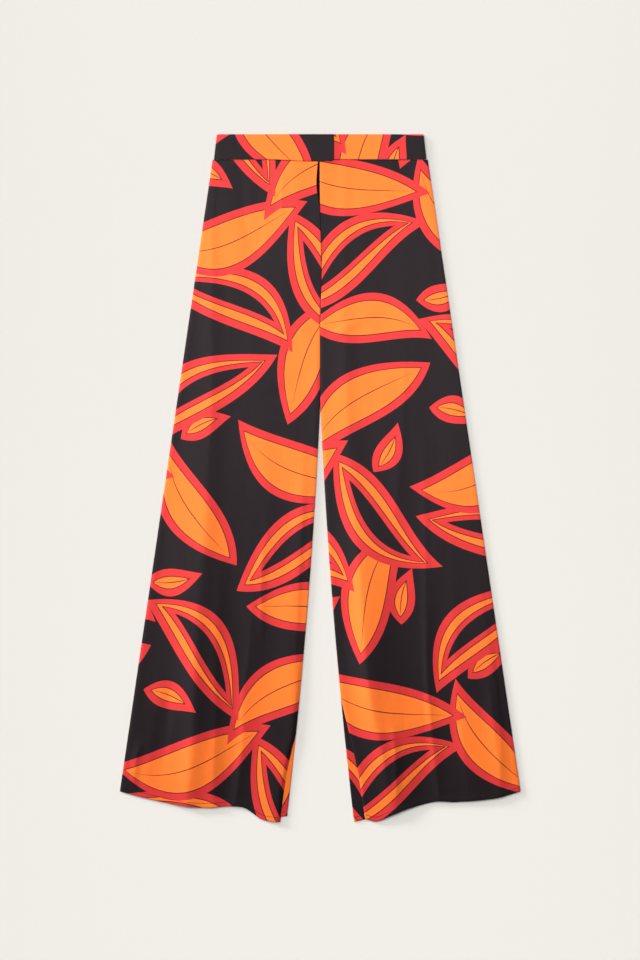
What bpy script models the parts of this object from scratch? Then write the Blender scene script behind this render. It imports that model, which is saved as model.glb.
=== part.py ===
"""Palazzo pants laid flat: two front legs on two back legs, a waistband and a zip fly.

The pants lie on their back on the floor. X runs across them, towards the wearer's left. Y runs up to the
waist. Z is the height over the floor. "Drop" is a distance down from the waistband's top edge. "Across" runs
over one leg, from 0 at the side seam to 1 at the inner edge. All sizes are metres.
"""

import math
from dataclasses import dataclass

import bmesh
import bpy

# The whole pair
LENGTH = 1.100
HALF_LENGTH = LENGTH / 2
RIGHT = -1
LEFT = 1

# Cloth, and the gap that sewn or stacked pieces keep
CLOTH = 0.0010
BAND_CLOTH = 0.0018
GAP = 0.0003

# Waistband
BAND_DEPTH = 0.0400
BAND_HALF_TOP = 0.1657
BAND_HALF_BOTTOM = 0.1698
BAND_CORNER = 0.0030
BAND_LIFT = BAND_CLOTH + GAP

# Overlap tab, the free end of the waistband's right half
TAB_END = 0.0219
TAB_DROOP = 0.0030
TAB_CORNER = 0.0050
TAB_START = -0.0080
TAB_RAMP = 0.0250
UNDER_TAB_END = -0.0035

# The waist seam sags towards the tab between these two places
DROOP_FROM = -0.0860
DROOP_TO = -0.0170

# Legs: the side seams run straight from waist to hem
SIDE_AT_WAIST = 0.1720
SIDE_AT_HEM = 0.3205
HEM_AT_SIDE = 1.0507

# Inner leg edges: they touch down to the parting, then draw apart
CROTCH_DROP = 0.330
PARTING_DROP = 0.433
INNER_STRAIGHT = 0.030
INNER_CURVED = 0.024

# Fly
FLY_END_DROP = 0.202
UNDERLAP_FROM = -0.0300
UNDERLAP_TO = 0.0090
ZIP_CENTRE = -0.0160
ZIP_TAPE_HALF = 0.0100
ZIP_TAPE = 0.0004
ZIP_CHAIN_HALF = 0.0021
ZIP_CHAIN = 0.0013
ZIP_CHAIN_TAPER = 0.8
ZIP_SLIDER_HALF = 0.0040
ZIP_SLIDER = 0.0015
ZIP_SLIDER_LENGTH = 0.0120
ZIP_STEP = 0.0030

# Heights of the layers at the fly, over the floor
UNDERLAP_HEIGHT = CLOTH + GAP
ZIP_HEIGHT = UNDERLAP_HEIGHT + CLOTH + GAP
LAP_RISE = ZIP_HEIGHT + ZIP_SLIDER + GAP - (CLOTH + GAP)
FLAT_EDGE_RISE = CLOTH + GAP
LAP_SPREAD = 0.110
FLAT_EDGE_SPREAD = 0.060
FLY_FADE = 0.060

# Rounding of a front leg where it comes down to a seam
SIDE_ROLL = 0.014
INNER_ROLL = 0.010

# Grids of the cloth, in cells
FRONT_COLUMNS = 24
FRONT_ROWS = 36
BACK_COLUMNS = 10
BACK_ROWS = 20
BAND_ROWS = 3
BAND_BACK_COLUMNS = 18
BAND_LEFT_COLUMNS = 10
BAND_RIGHT_COLUMNS = 24
UNDERLAP_COLUMNS = 4
UNDERLAP_ROWS = 8
CORNER_STEPS = 4
UPRIGHT_TOLERANCE = 1e-7


@dataclass(frozen=True)
class FoldRow:
    """One station of a fold: where its crest is and how far it reaches."""

    drop: float
    across: float
    rise: float
    outer_reach: float
    inner_reach: float


@dataclass(frozen=True)
class EdgeRow:
    """One station of an edge: a place along it and its distance."""

    at: float
    value: float


# Folds of the right leg, from the side seam inwards
RIGHT_SIDE_FOLD = (
    FoldRow(drop=0.170, across=0.090, rise=0.0000, outer_reach=0.020, inner_reach=0.030),
    FoldRow(drop=0.265, across=0.171, rise=0.0015, outer_reach=0.030, inner_reach=0.030),
    FoldRow(drop=0.361, across=0.217, rise=0.0025, outer_reach=0.038, inner_reach=0.030),
    FoldRow(drop=0.489, across=0.243, rise=0.0045, outer_reach=0.050, inner_reach=0.032),
    FoldRow(drop=0.585, across=0.271, rise=0.0055, outer_reach=0.055, inner_reach=0.032),
    FoldRow(drop=0.745, across=0.335, rise=0.0060, outer_reach=0.050, inner_reach=0.045),
    FoldRow(drop=0.873, across=0.374, rise=0.0065, outer_reach=0.032, inner_reach=0.055),
    FoldRow(drop=1.075, across=0.418, rise=0.0085, outer_reach=0.032, inner_reach=0.050),
)
RIGHT_MIDDLE_FOLD = (
    FoldRow(drop=0.490, across=0.640, rise=0.0000, outer_reach=0.045, inner_reach=0.030),
    FoldRow(drop=0.600, across=0.657, rise=0.0030, outer_reach=0.045, inner_reach=0.030),
    FoldRow(drop=0.745, across=0.655, rise=0.0045, outer_reach=0.032, inner_reach=0.036),
    FoldRow(drop=0.905, across=0.700, rise=0.0055, outer_reach=0.028, inner_reach=0.036),
    FoldRow(drop=1.075, across=0.720, rise=0.0060, outer_reach=0.028, inner_reach=0.026),
)
RIGHT_INNER_FOLD = (
    FoldRow(drop=0.330, across=0.920, rise=0.0000, outer_reach=0.030, inner_reach=0.014),
    FoldRow(drop=0.433, across=0.925, rise=0.0030, outer_reach=0.030, inner_reach=0.014),
    FoldRow(drop=0.745, across=0.925, rise=0.0050, outer_reach=0.034, inner_reach=0.016),
    FoldRow(drop=0.905, across=0.930, rise=0.0060, outer_reach=0.034, inner_reach=0.016),
    FoldRow(drop=1.075, across=0.900, rise=0.0095, outer_reach=0.036, inner_reach=0.026),
)

# Folds of the left leg, from the side seam inwards
LEFT_SIDE_FOLD = (
    FoldRow(drop=0.500, across=0.090, rise=0.0000, outer_reach=0.020, inner_reach=0.030),
    FoldRow(drop=0.681, across=0.165, rise=0.0045, outer_reach=0.030, inner_reach=0.030),
    FoldRow(drop=0.809, across=0.208, rise=0.0055, outer_reach=0.036, inner_reach=0.024),
    FoldRow(drop=1.065, across=0.327, rise=0.0065, outer_reach=0.045, inner_reach=0.026),
)
LEFT_MIDDLE_FOLD = (
    FoldRow(drop=0.460, across=0.290, rise=0.0000, outer_reach=0.026, inner_reach=0.030),
    FoldRow(drop=0.553, across=0.295, rise=0.0035, outer_reach=0.026, inner_reach=0.030),
    FoldRow(drop=0.745, across=0.387, rise=0.0055, outer_reach=0.030, inner_reach=0.028),
    FoldRow(drop=1.070, across=0.515, rise=0.0060, outer_reach=0.036, inner_reach=0.026),
)
LEFT_THIGH_FOLD = (
    FoldRow(drop=0.330, across=0.465, rise=0.0000, outer_reach=0.030, inner_reach=0.040),
    FoldRow(drop=0.393, across=0.477, rise=0.0020, outer_reach=0.030, inner_reach=0.040),
    FoldRow(drop=0.545, across=0.537, rise=0.0025, outer_reach=0.030, inner_reach=0.040),
    FoldRow(drop=0.620, across=0.550, rise=0.0000, outer_reach=0.030, inner_reach=0.040),
)
LEFT_INNER_FOLD = (
    FoldRow(drop=0.120, across=0.780, rise=0.0000, outer_reach=0.022, inner_reach=0.026),
    FoldRow(drop=0.233, across=0.805, rise=0.0020, outer_reach=0.022, inner_reach=0.026),
    FoldRow(drop=0.361, across=0.783, rise=0.0025, outer_reach=0.024, inner_reach=0.034),
    FoldRow(drop=0.553, across=0.814, rise=0.0050, outer_reach=0.040, inner_reach=0.034),
    FoldRow(drop=0.745, across=0.793, rise=0.0065, outer_reach=0.070, inner_reach=0.036),
    FoldRow(drop=0.937, across=0.826, rise=0.0080, outer_reach=0.050, inner_reach=0.026),
    FoldRow(drop=1.080, across=0.873, rise=0.0095, outer_reach=0.045, inner_reach=0.026),
)
FOLDS = {
    RIGHT: (RIGHT_SIDE_FOLD, RIGHT_MIDDLE_FOLD, RIGHT_INNER_FOLD),
    LEFT: (LEFT_SIDE_FOLD, LEFT_MIDDLE_FOLD, LEFT_THIGH_FOLD, LEFT_INNER_FOLD),
}

# Hem lines: drop of the hem by its place across the leg
RIGHT_FRONT_HEM = (
    EdgeRow(at=0.000, value=1.0507),
    EdgeRow(at=0.131, value=1.0597),
    EdgeRow(at=0.400, value=1.0742),
    EdgeRow(at=0.548, value=1.0768),
    EdgeRow(at=0.679, value=1.0747),
    EdgeRow(at=0.775, value=1.0776),
    EdgeRow(at=0.879, value=1.0946),
    EdgeRow(at=0.940, value=1.0985),
    EdgeRow(at=1.000, value=1.1000),
)
LEFT_FRONT_HEM = (
    EdgeRow(at=0.000, value=1.0507),
    EdgeRow(at=0.168, value=1.0622),
    EdgeRow(at=0.423, value=1.0680),
    EdgeRow(at=0.541, value=1.0672),
    EdgeRow(at=0.729, value=1.0794),
    EdgeRow(at=0.831, value=1.0891),
    EdgeRow(at=0.932, value=1.0988),
    EdgeRow(at=1.000, value=1.0945),
)
RIGHT_BACK_HEM = (
    EdgeRow(at=0.000, value=1.0490),
    EdgeRow(at=0.400, value=1.0715),
    EdgeRow(at=0.740, value=1.0745),
    EdgeRow(at=0.900, value=1.0920),
    EdgeRow(at=1.000, value=1.0905),
)
LEFT_BACK_HEM = (
    EdgeRow(at=0.000, value=1.0500),
    EdgeRow(at=0.420, value=1.0660),
    EdgeRow(at=0.740, value=1.0800),
    EdgeRow(at=0.880, value=1.0925),
    EdgeRow(at=1.000, value=1.0998),
)

# How far each front leg's inseam sits inside the back leg's edge, by drop
RIGHT_INSEAM_INSET = (
    EdgeRow(at=0.960, value=0.0000),
    EdgeRow(at=1.020, value=0.0080),
    EdgeRow(at=1.100, value=0.0100),
)
LEFT_INSEAM_INSET = (
    EdgeRow(at=0.900, value=0.0000),
    EdgeRow(at=1.020, value=0.0150),
    EdgeRow(at=1.100, value=0.0185),
)

# The centre front line's sway to the wearer's left, and the lap's edge off that line, by drop
CENTRE_SWAY = (
    EdgeRow(at=0.040, value=-0.0010),
    EdgeRow(at=0.112, value=-0.0004),
    EdgeRow(at=0.217, value=0.0020),
    EdgeRow(at=0.300, value=0.0000),
)
LAP_STAND_OFF = (
    EdgeRow(at=0.040, value=0.0022),
    EdgeRow(at=0.072, value=0.0050),
    EdgeRow(at=0.090, value=0.0043),
    EdgeRow(at=0.114, value=0.0000),
)


def smooth(share):
    """A soft step from 0 to 1."""
    share = min(1.0, max(0.0, share))
    return share * share * (3.0 - 2.0 * share)


def along(rows, at, column="value", key="at"):
    """Reads one column of a table at a place between its rows, as one soft curve through them."""
    places = [getattr(row, key) for row in rows]
    values = [getattr(row, column) for row in rows]
    if at <= places[0]:
        return values[0]
    if at >= places[-1]:
        return values[-1]
    index = max(i for i, place in enumerate(places) if place <= at)
    slopes = []
    for i in (index, index + 1):
        low = max(i - 1, 0)
        high = min(i + 1, len(rows) - 1)
        slopes.append((values[high] - values[low]) / (places[high] - places[low]))
    step = places[index + 1] - places[index]
    t = (at - places[index]) / step
    start_weight = 2 * t**3 - 3 * t**2 + 1
    start_pull = (t**3 - 2 * t**2 + t) * step
    end_pull = (t**3 - t**2) * step
    return (
        start_weight * values[index]
        + (1 - start_weight) * values[index + 1]
        + start_pull * slopes[0]
        + end_pull * slopes[1]
    )


def seam_droop(x):
    """How far the waist seam of the right half sags at x."""
    return TAB_DROOP * smooth((x - DROOP_FROM) / (DROOP_TO - DROOP_FROM))


def side_edge(drop):
    """Distance of the side seam from the centre line."""
    share = (drop - BAND_DEPTH) / (HEM_AT_SIDE - BAND_DEPTH)
    return SIDE_AT_WAIST + share * (SIDE_AT_HEM - SIDE_AT_WAIST)


def inner_edge(drop):
    """Distance of a leg's inner edge from the centre line, which is half a seam's gap down to the parting."""
    share = max(0.0, (drop - PARTING_DROP) / (LENGTH - PARTING_DROP))
    return GAP / 2 + INNER_STRAIGHT * share + INNER_CURVED * share**2


def front_inner_edge(leg, drop):
    """The front leg's own inner edge: the centre front, then the inseam near the hem."""
    if drop < PARTING_DROP:
        edge = inner_edge(drop) + leg * along(CENTRE_SWAY, drop)
        if leg == RIGHT:
            edge += along(LAP_STAND_OFF, drop)
        return edge
    inset = RIGHT_INSEAM_INSET if leg == RIGHT else LEFT_INSEAM_INSET
    return inner_edge(drop) + along(inset, drop)


def fold_height(rows, drop, across, width):
    """Height of one fold at a place on the leg, a round crest with its own slope to each side."""
    rise = along(rows, drop, "rise", "drop")
    offset = (across - along(rows, drop, "across", "drop")) * width
    reach = along(rows, drop, "outer_reach" if offset < 0 else "inner_reach", "drop")
    if rise <= 0.0 or abs(offset) >= reach:
        return 0.0
    return rise * 0.5 * (1.0 + math.cos(math.pi * offset / reach))


def fly_height(leg, x, drop):
    """How far the underlap and the zip lift the front leg over them."""
    fade = 1.0 - smooth((drop - FLY_END_DROP) / FLY_FADE)
    if leg == RIGHT:
        return LAP_RISE * fade * smooth((LAP_SPREAD - x) / (LAP_SPREAD + UNDERLAP_FROM))
    return FLAT_EDGE_RISE * fade * smooth((FLAT_EDGE_SPREAD - x) / (FLAT_EDGE_SPREAD - UNDERLAP_TO))


def front_place(leg):
    """The rule that lays a grid on a front leg."""
    hem = RIGHT_FRONT_HEM if leg == RIGHT else LEFT_FRONT_HEM

    def place(across, down):
        droop = seam_droop((across - 1.0) * SIDE_AT_WAIST) if leg == RIGHT else 0.0
        top = BAND_DEPTH + GAP + droop
        drop = top + down * (along(hem, across) - top)
        inner = front_inner_edge(leg, drop)
        width = side_edge(drop) - inner
        x = inner + (1.0 - across) * width
        height = sum(fold_height(rows, drop, across, width) for rows in FOLDS[leg])
        height *= smooth(across * width / SIDE_ROLL)
        if drop > CROTCH_DROP:
            height *= smooth((1.0 - across) * width / INNER_ROLL)
        height += fly_height(leg, x, drop)
        return (leg * x, HALF_LENGTH - drop, CLOTH + GAP + height)

    return place


def back_place(leg):
    """The rule that lays a grid on a back leg, flat on the floor."""
    hem = RIGHT_BACK_HEM if leg == RIGHT else LEFT_BACK_HEM

    def place(across, down):
        top = BAND_DEPTH + GAP
        drop = top + down * (along(hem, across) - top)
        inner = inner_edge(drop)
        x = inner + (1.0 - across) * (side_edge(drop) - inner)
        return (leg * x, HALF_LENGTH - drop, 0.0)

    return place


def band_half_width(drop):
    """Distance of the waistband's side from the centre line."""
    return BAND_HALF_TOP + drop / BAND_DEPTH * (BAND_HALF_BOTTOM - BAND_HALF_TOP)


def band_back_place(across, down):
    """Lays the back waistband on the floor."""
    drop = down * BAND_DEPTH
    return ((2.0 * across - 1.0) * band_half_width(drop), HALF_LENGTH - drop, 0.0)


def band_left_place(across, down):
    """Lays the waistband's left half on the back one. Its end runs in under the tab."""
    drop = down * BAND_DEPTH
    x = UNDER_TAB_END + across * (band_half_width(drop) - UNDER_TAB_END)
    return (x, HALF_LENGTH - drop, BAND_LIFT)


def band_right_place(across, down):
    """Lays the waistband's right half on the back one, up and over the left half's end, with its tab."""
    outer = -band_half_width(down * BAND_DEPTH)
    x = outer + across * (TAB_END - outer)
    drop = down * (BAND_DEPTH + seam_droop(x))
    over = smooth((x - TAB_START + TAB_RAMP) / TAB_RAMP)
    return (x, HALF_LENGTH - drop, BAND_LIFT * (1.0 + over))


def underlap_place(across, down):
    """Lays the strip behind the fly opening on the back legs."""
    top = BAND_DEPTH + TAB_DROOP + 2 * GAP
    drop = top + down * (FLY_END_DROP - top)
    x = UNDERLAP_FROM + across * (UNDERLAP_TO - UNDERLAP_FROM)
    return (x, HALF_LENGTH - drop, UNDERLAP_HEIGHT)


def plain_material(name, colour, roughness, metallic=0.0):
    """A plain finish for one piece."""
    material = bpy.data.materials.new(name)
    material.use_nodes = True
    shader = material.node_tree.nodes["Principled BSDF"]
    shader.inputs["Base Color"].default_value = (*colour, 1.0)
    shader.inputs["Roughness"].default_value = roughness
    shader.inputs["Metallic"].default_value = metallic
    return material


def add_piece(name, mesh_data, material):
    """Puts a finished bmesh in the scene as a named piece."""
    mesh = bpy.data.meshes.new(name)
    mesh_data.to_mesh(mesh)
    mesh_data.free()
    mesh.shade_smooth()
    mesh.set_sharp_from_angle(angle=math.radians(40))
    mesh.materials.append(material)
    piece = bpy.data.objects.new(name, mesh)
    bpy.context.scene.collection.objects.link(piece)
    return piece


def cloth_wall(columns, rows, place, thickness):
    """A closed wall of cloth: a grid laid by a rule, with its thickness straight up."""
    wall = bmesh.new()
    bmesh.ops.create_grid(wall, x_segments=columns, y_segments=rows, size=0.5)
    for vertex in wall.verts:
        vertex.co = place(vertex.co.x + 0.5, 0.5 - vertex.co.y)
    raised = bmesh.ops.extrude_face_region(wall, geom=wall.faces[:])
    upper = [item for item in raised["geom"] if isinstance(item, bmesh.types.BMVert)]
    bmesh.ops.translate(wall, vec=(0.0, 0.0, thickness), verts=upper)
    bmesh.ops.recalc_face_normals(wall, faces=wall.faces[:])
    return wall


def round_corner(wall, corner, radius):
    """Rounds the upright edge of a wall that stands nearest to a corner."""
    def distance(edge):
        middle = (edge.verts[0].co + edge.verts[1].co) / 2
        return math.hypot(middle.x - corner[0], middle.y - corner[1])

    upright = [
        edge
        for edge in wall.edges
        if math.hypot(*(edge.verts[0].co - edge.verts[1].co).xy) < UPRIGHT_TOLERANCE
    ]
    nearest = min(upright, key=distance)
    bmesh.ops.bevel(
        wall, geom=[nearest], offset=radius, segments=CORNER_STEPS, profile=0.5, affect="EDGES", material=-1
    )


def make_legs():
    """The four leg pieces."""
    names = {RIGHT: "right", LEFT: "left"}
    for leg, side in names.items():
        front = cloth_wall(FRONT_COLUMNS, FRONT_ROWS, front_place(leg), CLOTH)
        add_piece(f"front_{side}", front, plain_material(f"front_{side}_satin", (0.80, 0.16, 0.06), 0.5))
        back = cloth_wall(BACK_COLUMNS, BACK_ROWS, back_place(leg), CLOTH)
        add_piece(f"back_{side}", back, plain_material(f"back_{side}_satin", (0.75, 0.14, 0.05), 0.5))


def make_waistband():
    """The three waistband pieces, with their corners rounded."""
    top = HALF_LENGTH
    back = cloth_wall(BAND_BACK_COLUMNS, BAND_ROWS, band_back_place, BAND_CLOTH)
    for side in (RIGHT, LEFT):
        round_corner(back, (side * BAND_HALF_TOP, top), BAND_CORNER)
    add_piece("waistband_back", back, plain_material("waistband_back_satin", (0.06, 0.03, 0.04), 0.5))

    left = cloth_wall(BAND_LEFT_COLUMNS, BAND_ROWS, band_left_place, BAND_CLOTH)
    round_corner(left, (BAND_HALF_TOP, top), BAND_CORNER)
    add_piece("waistband_front_left", left, plain_material("waistband_left_satin", (0.90, 0.30, 0.07), 0.5))

    right = cloth_wall(BAND_RIGHT_COLUMNS, BAND_ROWS, band_right_place, BAND_CLOTH)
    round_corner(right, (-BAND_HALF_TOP, top), BAND_CORNER)
    round_corner(right, (TAB_END, top - BAND_DEPTH - TAB_DROOP), TAB_CORNER)
    black = plain_material("waistband_right_satin", (0.05, 0.03, 0.03), 0.5)
    add_piece("waistband_front_right", right, black)


def make_underlap():
    """The strip behind the fly opening."""
    strip = cloth_wall(UNDERLAP_COLUMNS, UNDERLAP_ROWS, underlap_place, CLOTH)
    add_piece("fly_underlap", strip, plain_material("fly_underlap_satin", (0.04, 0.02, 0.03), 0.5))


def zip_section(mesh, drop, chain_half, chain_height):
    """One cross-section of the zip: flat tape with the raised chain, or the slider, on it."""
    outline = (
        (-ZIP_TAPE_HALF, 0.0),
        (ZIP_TAPE_HALF, 0.0),
        (ZIP_TAPE_HALF, ZIP_TAPE),
        (chain_half, ZIP_TAPE),
        (chain_half * ZIP_CHAIN_TAPER, chain_height),
        (-chain_half * ZIP_CHAIN_TAPER, chain_height),
        (-chain_half, ZIP_TAPE),
        (-ZIP_TAPE_HALF, ZIP_TAPE),
    )
    ring = [
        mesh.verts.new((ZIP_CENTRE + x, HALF_LENGTH - drop, ZIP_HEIGHT + z)) for x, z in outline
    ]
    return [mesh.edges.new((ring[i - 1], ring[i])) for i in range(len(ring))]


def make_zip():
    """The closed zip under the lap: tape and chain, with the slider at its top."""
    top = BAND_DEPTH + TAB_DROOP + 2 * GAP
    slider_end = top + ZIP_STEP + ZIP_SLIDER_LENGTH
    stations = (
        (top, ZIP_CHAIN_HALF, ZIP_CHAIN),
        (top + ZIP_STEP, ZIP_SLIDER_HALF, ZIP_SLIDER),
        (slider_end, ZIP_SLIDER_HALF, ZIP_SLIDER),
        (slider_end + ZIP_STEP, ZIP_CHAIN_HALF, ZIP_CHAIN),
        (FLY_END_DROP - GAP, ZIP_CHAIN_HALF, ZIP_CHAIN),
    )
    mesh = bmesh.new()
    rings = [zip_section(mesh, *station) for station in stations]
    for upper, lower in zip(rings, rings[1:]):
        bmesh.ops.bridge_loops(mesh, edges=upper + lower)
    for ring in (rings[0], rings[-1]):
        bmesh.ops.contextual_create(mesh, geom=ring)
    bmesh.ops.recalc_face_normals(mesh, faces=mesh.faces[:])
    add_piece("zip", mesh, plain_material("zip_tape_and_chain", (0.03, 0.03, 0.03), 0.45))


def main():
    """Clears the scene and makes the pieces."""
    for item in list(bpy.data.objects):
        bpy.data.objects.remove(item, do_unlink=True)
    make_legs()
    make_waistband()
    make_underlap()
    make_zip()


main()
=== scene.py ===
"""Palazzo pants laid flat on a pale floor: four legs of printed satin, a waistband and a closed fly.

The pants lie on their back. X runs across them, towards the wearer's left. Y runs up to the waist. Z is the
height over the floor. "Drop" is a distance down from the waistband's top edge. "Across" runs over one leg,
from 0 at the side seam to 1 at the inner edge. All sizes are metres.
"""

import logging
import math
from abc import ABC, abstractmethod
from dataclasses import dataclass
from enum import Enum
from typing import Callable, ClassVar, Dict, List, Optional, Sequence, Tuple

import bmesh
import bpy
import numpy as np
from mathutils import Matrix, Vector


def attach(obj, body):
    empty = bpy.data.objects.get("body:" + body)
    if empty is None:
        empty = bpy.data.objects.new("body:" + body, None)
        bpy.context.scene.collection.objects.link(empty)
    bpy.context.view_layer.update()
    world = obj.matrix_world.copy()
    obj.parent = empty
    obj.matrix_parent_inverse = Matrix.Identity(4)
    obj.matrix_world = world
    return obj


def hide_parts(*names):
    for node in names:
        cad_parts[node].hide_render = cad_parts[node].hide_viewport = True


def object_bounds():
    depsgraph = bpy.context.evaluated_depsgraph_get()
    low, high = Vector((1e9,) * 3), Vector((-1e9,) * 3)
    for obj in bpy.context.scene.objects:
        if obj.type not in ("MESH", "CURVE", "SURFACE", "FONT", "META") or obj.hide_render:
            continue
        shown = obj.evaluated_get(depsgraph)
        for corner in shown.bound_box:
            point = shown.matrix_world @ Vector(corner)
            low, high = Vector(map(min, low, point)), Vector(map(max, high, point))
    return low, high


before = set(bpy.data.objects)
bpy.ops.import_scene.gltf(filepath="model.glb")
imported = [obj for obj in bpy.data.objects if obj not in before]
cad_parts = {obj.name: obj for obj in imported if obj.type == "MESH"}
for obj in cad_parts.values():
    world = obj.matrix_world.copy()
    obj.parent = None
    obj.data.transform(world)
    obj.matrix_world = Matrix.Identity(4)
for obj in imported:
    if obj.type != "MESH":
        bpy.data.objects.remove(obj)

cad_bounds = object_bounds()
log = logging.getLogger("palazzo_pants")

Array = np.ndarray
Point = Tuple[float, float, float]
Colour = Tuple[float, float, float]
Shape = bmesh.types.BMesh
Piece = bpy.types.Object
Socket = bpy.types.NodeSocket

# The whole pair, from its frame
LENGTH = cad_bounds[1].y - cad_bounds[0].y
HALF_LENGTH = LENGTH / 2
GAP = 0.0003
CAD_CLOTH = 0.0010
FRONT_MIDDLE = CAD_CLOTH * 1.5 + GAP

# Waistband
BAND_DEPTH = 0.0400
BAND_HALF_TOP = 0.1657
BAND_HALF_BOTTOM = 0.1698
TAB_DROOP = 0.0030
DROOP_FROM = -0.0860
DROOP_TO = -0.0170

# Leg outlines
SIDE_AT_WAIST = 0.1720
SIDE_AT_HEM = 0.3205
HEM_AT_SIDE = 1.0507
CROTCH_DROP = 0.330
PARTING_DROP = 0.433
INNER_STRAIGHT = 0.030
INNER_CURVED = 0.024

# Folds: the rounding of a crest, as a share of its reach, and of a crease's ends, as a share of its length
FOLD_CROWN = 0.12
CREASE_FADE = 0.35

# Fly
FLY_END_DROP = 0.202
UNDERLAP_FROM = -0.0300
UNDERLAP_TO = 0.0090
LAP_RISE = 0.0019
LAP_SPREAD = 0.110
FLAT_EDGE_RISE = 0.0006
FLAT_EDGE_SPREAD = 0.060
FLY_FADE = 0.060


class Side(Enum):
    """The wearer's sides, as the sign of X."""

    RIGHT = -1
    LEFT = 1

    @property
    def word(self) -> str:
        """The side's name in lower case."""
        return self.name.lower()


@dataclass(frozen=True)
class FoldRow:
    """One station of a long fold: where its crest is and how far it reaches."""

    drop: float
    across: float
    rise: float
    outer_reach: float
    inner_reach: float


@dataclass(frozen=True)
class EdgeRow:
    """One station of an edge: a place along it and its distance."""

    at: float
    value: float


@dataclass(frozen=True)
class Crease:
    """A short crease or soft hollow in a leg, drawn from one end to the other.

    Its ends are (distance from the centre line, drop). A negative rise makes a trough.
    """

    start: Tuple[float, float]
    end: Tuple[float, float]
    rise: float
    reach: float
    bow: float = 0.0


def smooth(share: Array) -> Array:
    """A soft step from 0 to 1.

    Args:
        share: Where on the step, from 0 to 1; beyond those it stays level.

    Returns:
        The step's height.
    """
    share = np.clip(share, 0.0, 1.0)
    return share * share * (3.0 - 2.0 * share)


def quarter_round(distance: Array, radius: float) -> Array:
    """The rise of a rounded edge.

    Args:
        distance: How far in from the edge.
        radius: Where the rounding ends.

    Returns:
        0 at the edge, 1 from the radius inwards.
    """
    share = np.clip(distance / radius, 0.0, 1.0)
    return np.sqrt(1.0 - (1.0 - share) ** 2)


def thinning(distance: Array, radius: float, share: float) -> Array:
    """How much of a wall's thickness is left towards its rounded edge, where it is down to a share."""
    return share + (1.0 - share) * quarter_round(distance, radius)


def fold_section(share: Array) -> Array:
    """The section of a fold in thin cloth: a narrow crown between long hollow flanks.

    Args:
        share: Distance from the crest, as a share of the fold's reach.

    Returns:
        1 at the crest, and 0 from the reach outwards.
    """
    off = np.sqrt(share**2 + FOLD_CROWN**2) - FOLD_CROWN
    reach = math.hypot(1.0, FOLD_CROWN) - FOLD_CROWN
    return np.maximum(0.0, 1.0 - off / reach) ** 2


def soft_curve(places: Sequence[float], values: Sequence[float], at: Array) -> Array:
    """Reads one soft curve through stations.

    Args:
        places: Where the stations are, rising.
        values: The curve's height at each.
        at: Where to read it; beyond the ends it stays level.

    Returns:
        The heights there.
    """
    places, values = np.asarray(places), np.asarray(values)
    last = len(places) - 1
    low = np.maximum(np.arange(last + 1) - 1, 0)
    high = np.minimum(np.arange(last + 1) + 1, last)
    slopes = (values[high] - values[low]) / (places[high] - places[low])
    at = np.clip(at, places[0], places[-1])
    index = np.clip(np.searchsorted(places, at, side="right") - 1, 0, last - 1)
    step = places[index + 1] - places[index]
    t = (at - places[index]) / step
    start_weight = 2 * t**3 - 3 * t**2 + 1
    return (
        start_weight * values[index]
        + (1 - start_weight) * values[index + 1]
        + (t**3 - 2 * t**2 + t) * step * slopes[index]
        + (t**3 - t**2) * step * slopes[index + 1]
    )


def read_edge(rows: Sequence[EdgeRow], at: Array) -> Array:
    """Reads an edge's table at places along it."""
    return soft_curve([row.at for row in rows], [row.value for row in rows], at)


def crowded(share: Array, count: int, edge_cells: int, least: float) -> Array:
    """Draws the lines of an even grid closer together near its two ends.

    Args:
        share: Places on the even grid, from 0 to 1.
        count: The grid's cells.
        edge_cells: How many cells at each end are drawn together.
        least: The first cell's size, as a share of a middle one.

    Returns:
        The new places.
    """
    cell = np.arange(count)
    from_end = np.minimum(cell, count - 1 - cell) / edge_cells
    size = least + (1.0 - least) * smooth(from_end)
    lines = np.concatenate([[0.0], np.cumsum(size)])
    return np.interp(share, np.linspace(0.0, 1.0, count + 1), lines / lines[-1])


def side_edge(drop: Array) -> Array:
    """Distance of the side seam from the centre line."""
    share = (drop - BAND_DEPTH) / (HEM_AT_SIDE - BAND_DEPTH)
    return SIDE_AT_WAIST + share * (SIDE_AT_HEM - SIDE_AT_WAIST)


def inner_edge(drop: Array) -> Array:
    """Distance of a leg's inner edge from the centre line."""
    share = np.maximum(0.0, (drop - PARTING_DROP) / (LENGTH - PARTING_DROP))
    return GAP / 2 + INNER_STRAIGHT * share + INNER_CURVED * share**2


def seam_droop(x: Array) -> Array:
    """How far the waist seam of the right half sags at x."""
    return TAB_DROOP * smooth((x - DROOP_FROM) / (DROOP_TO - DROOP_FROM))


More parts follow.
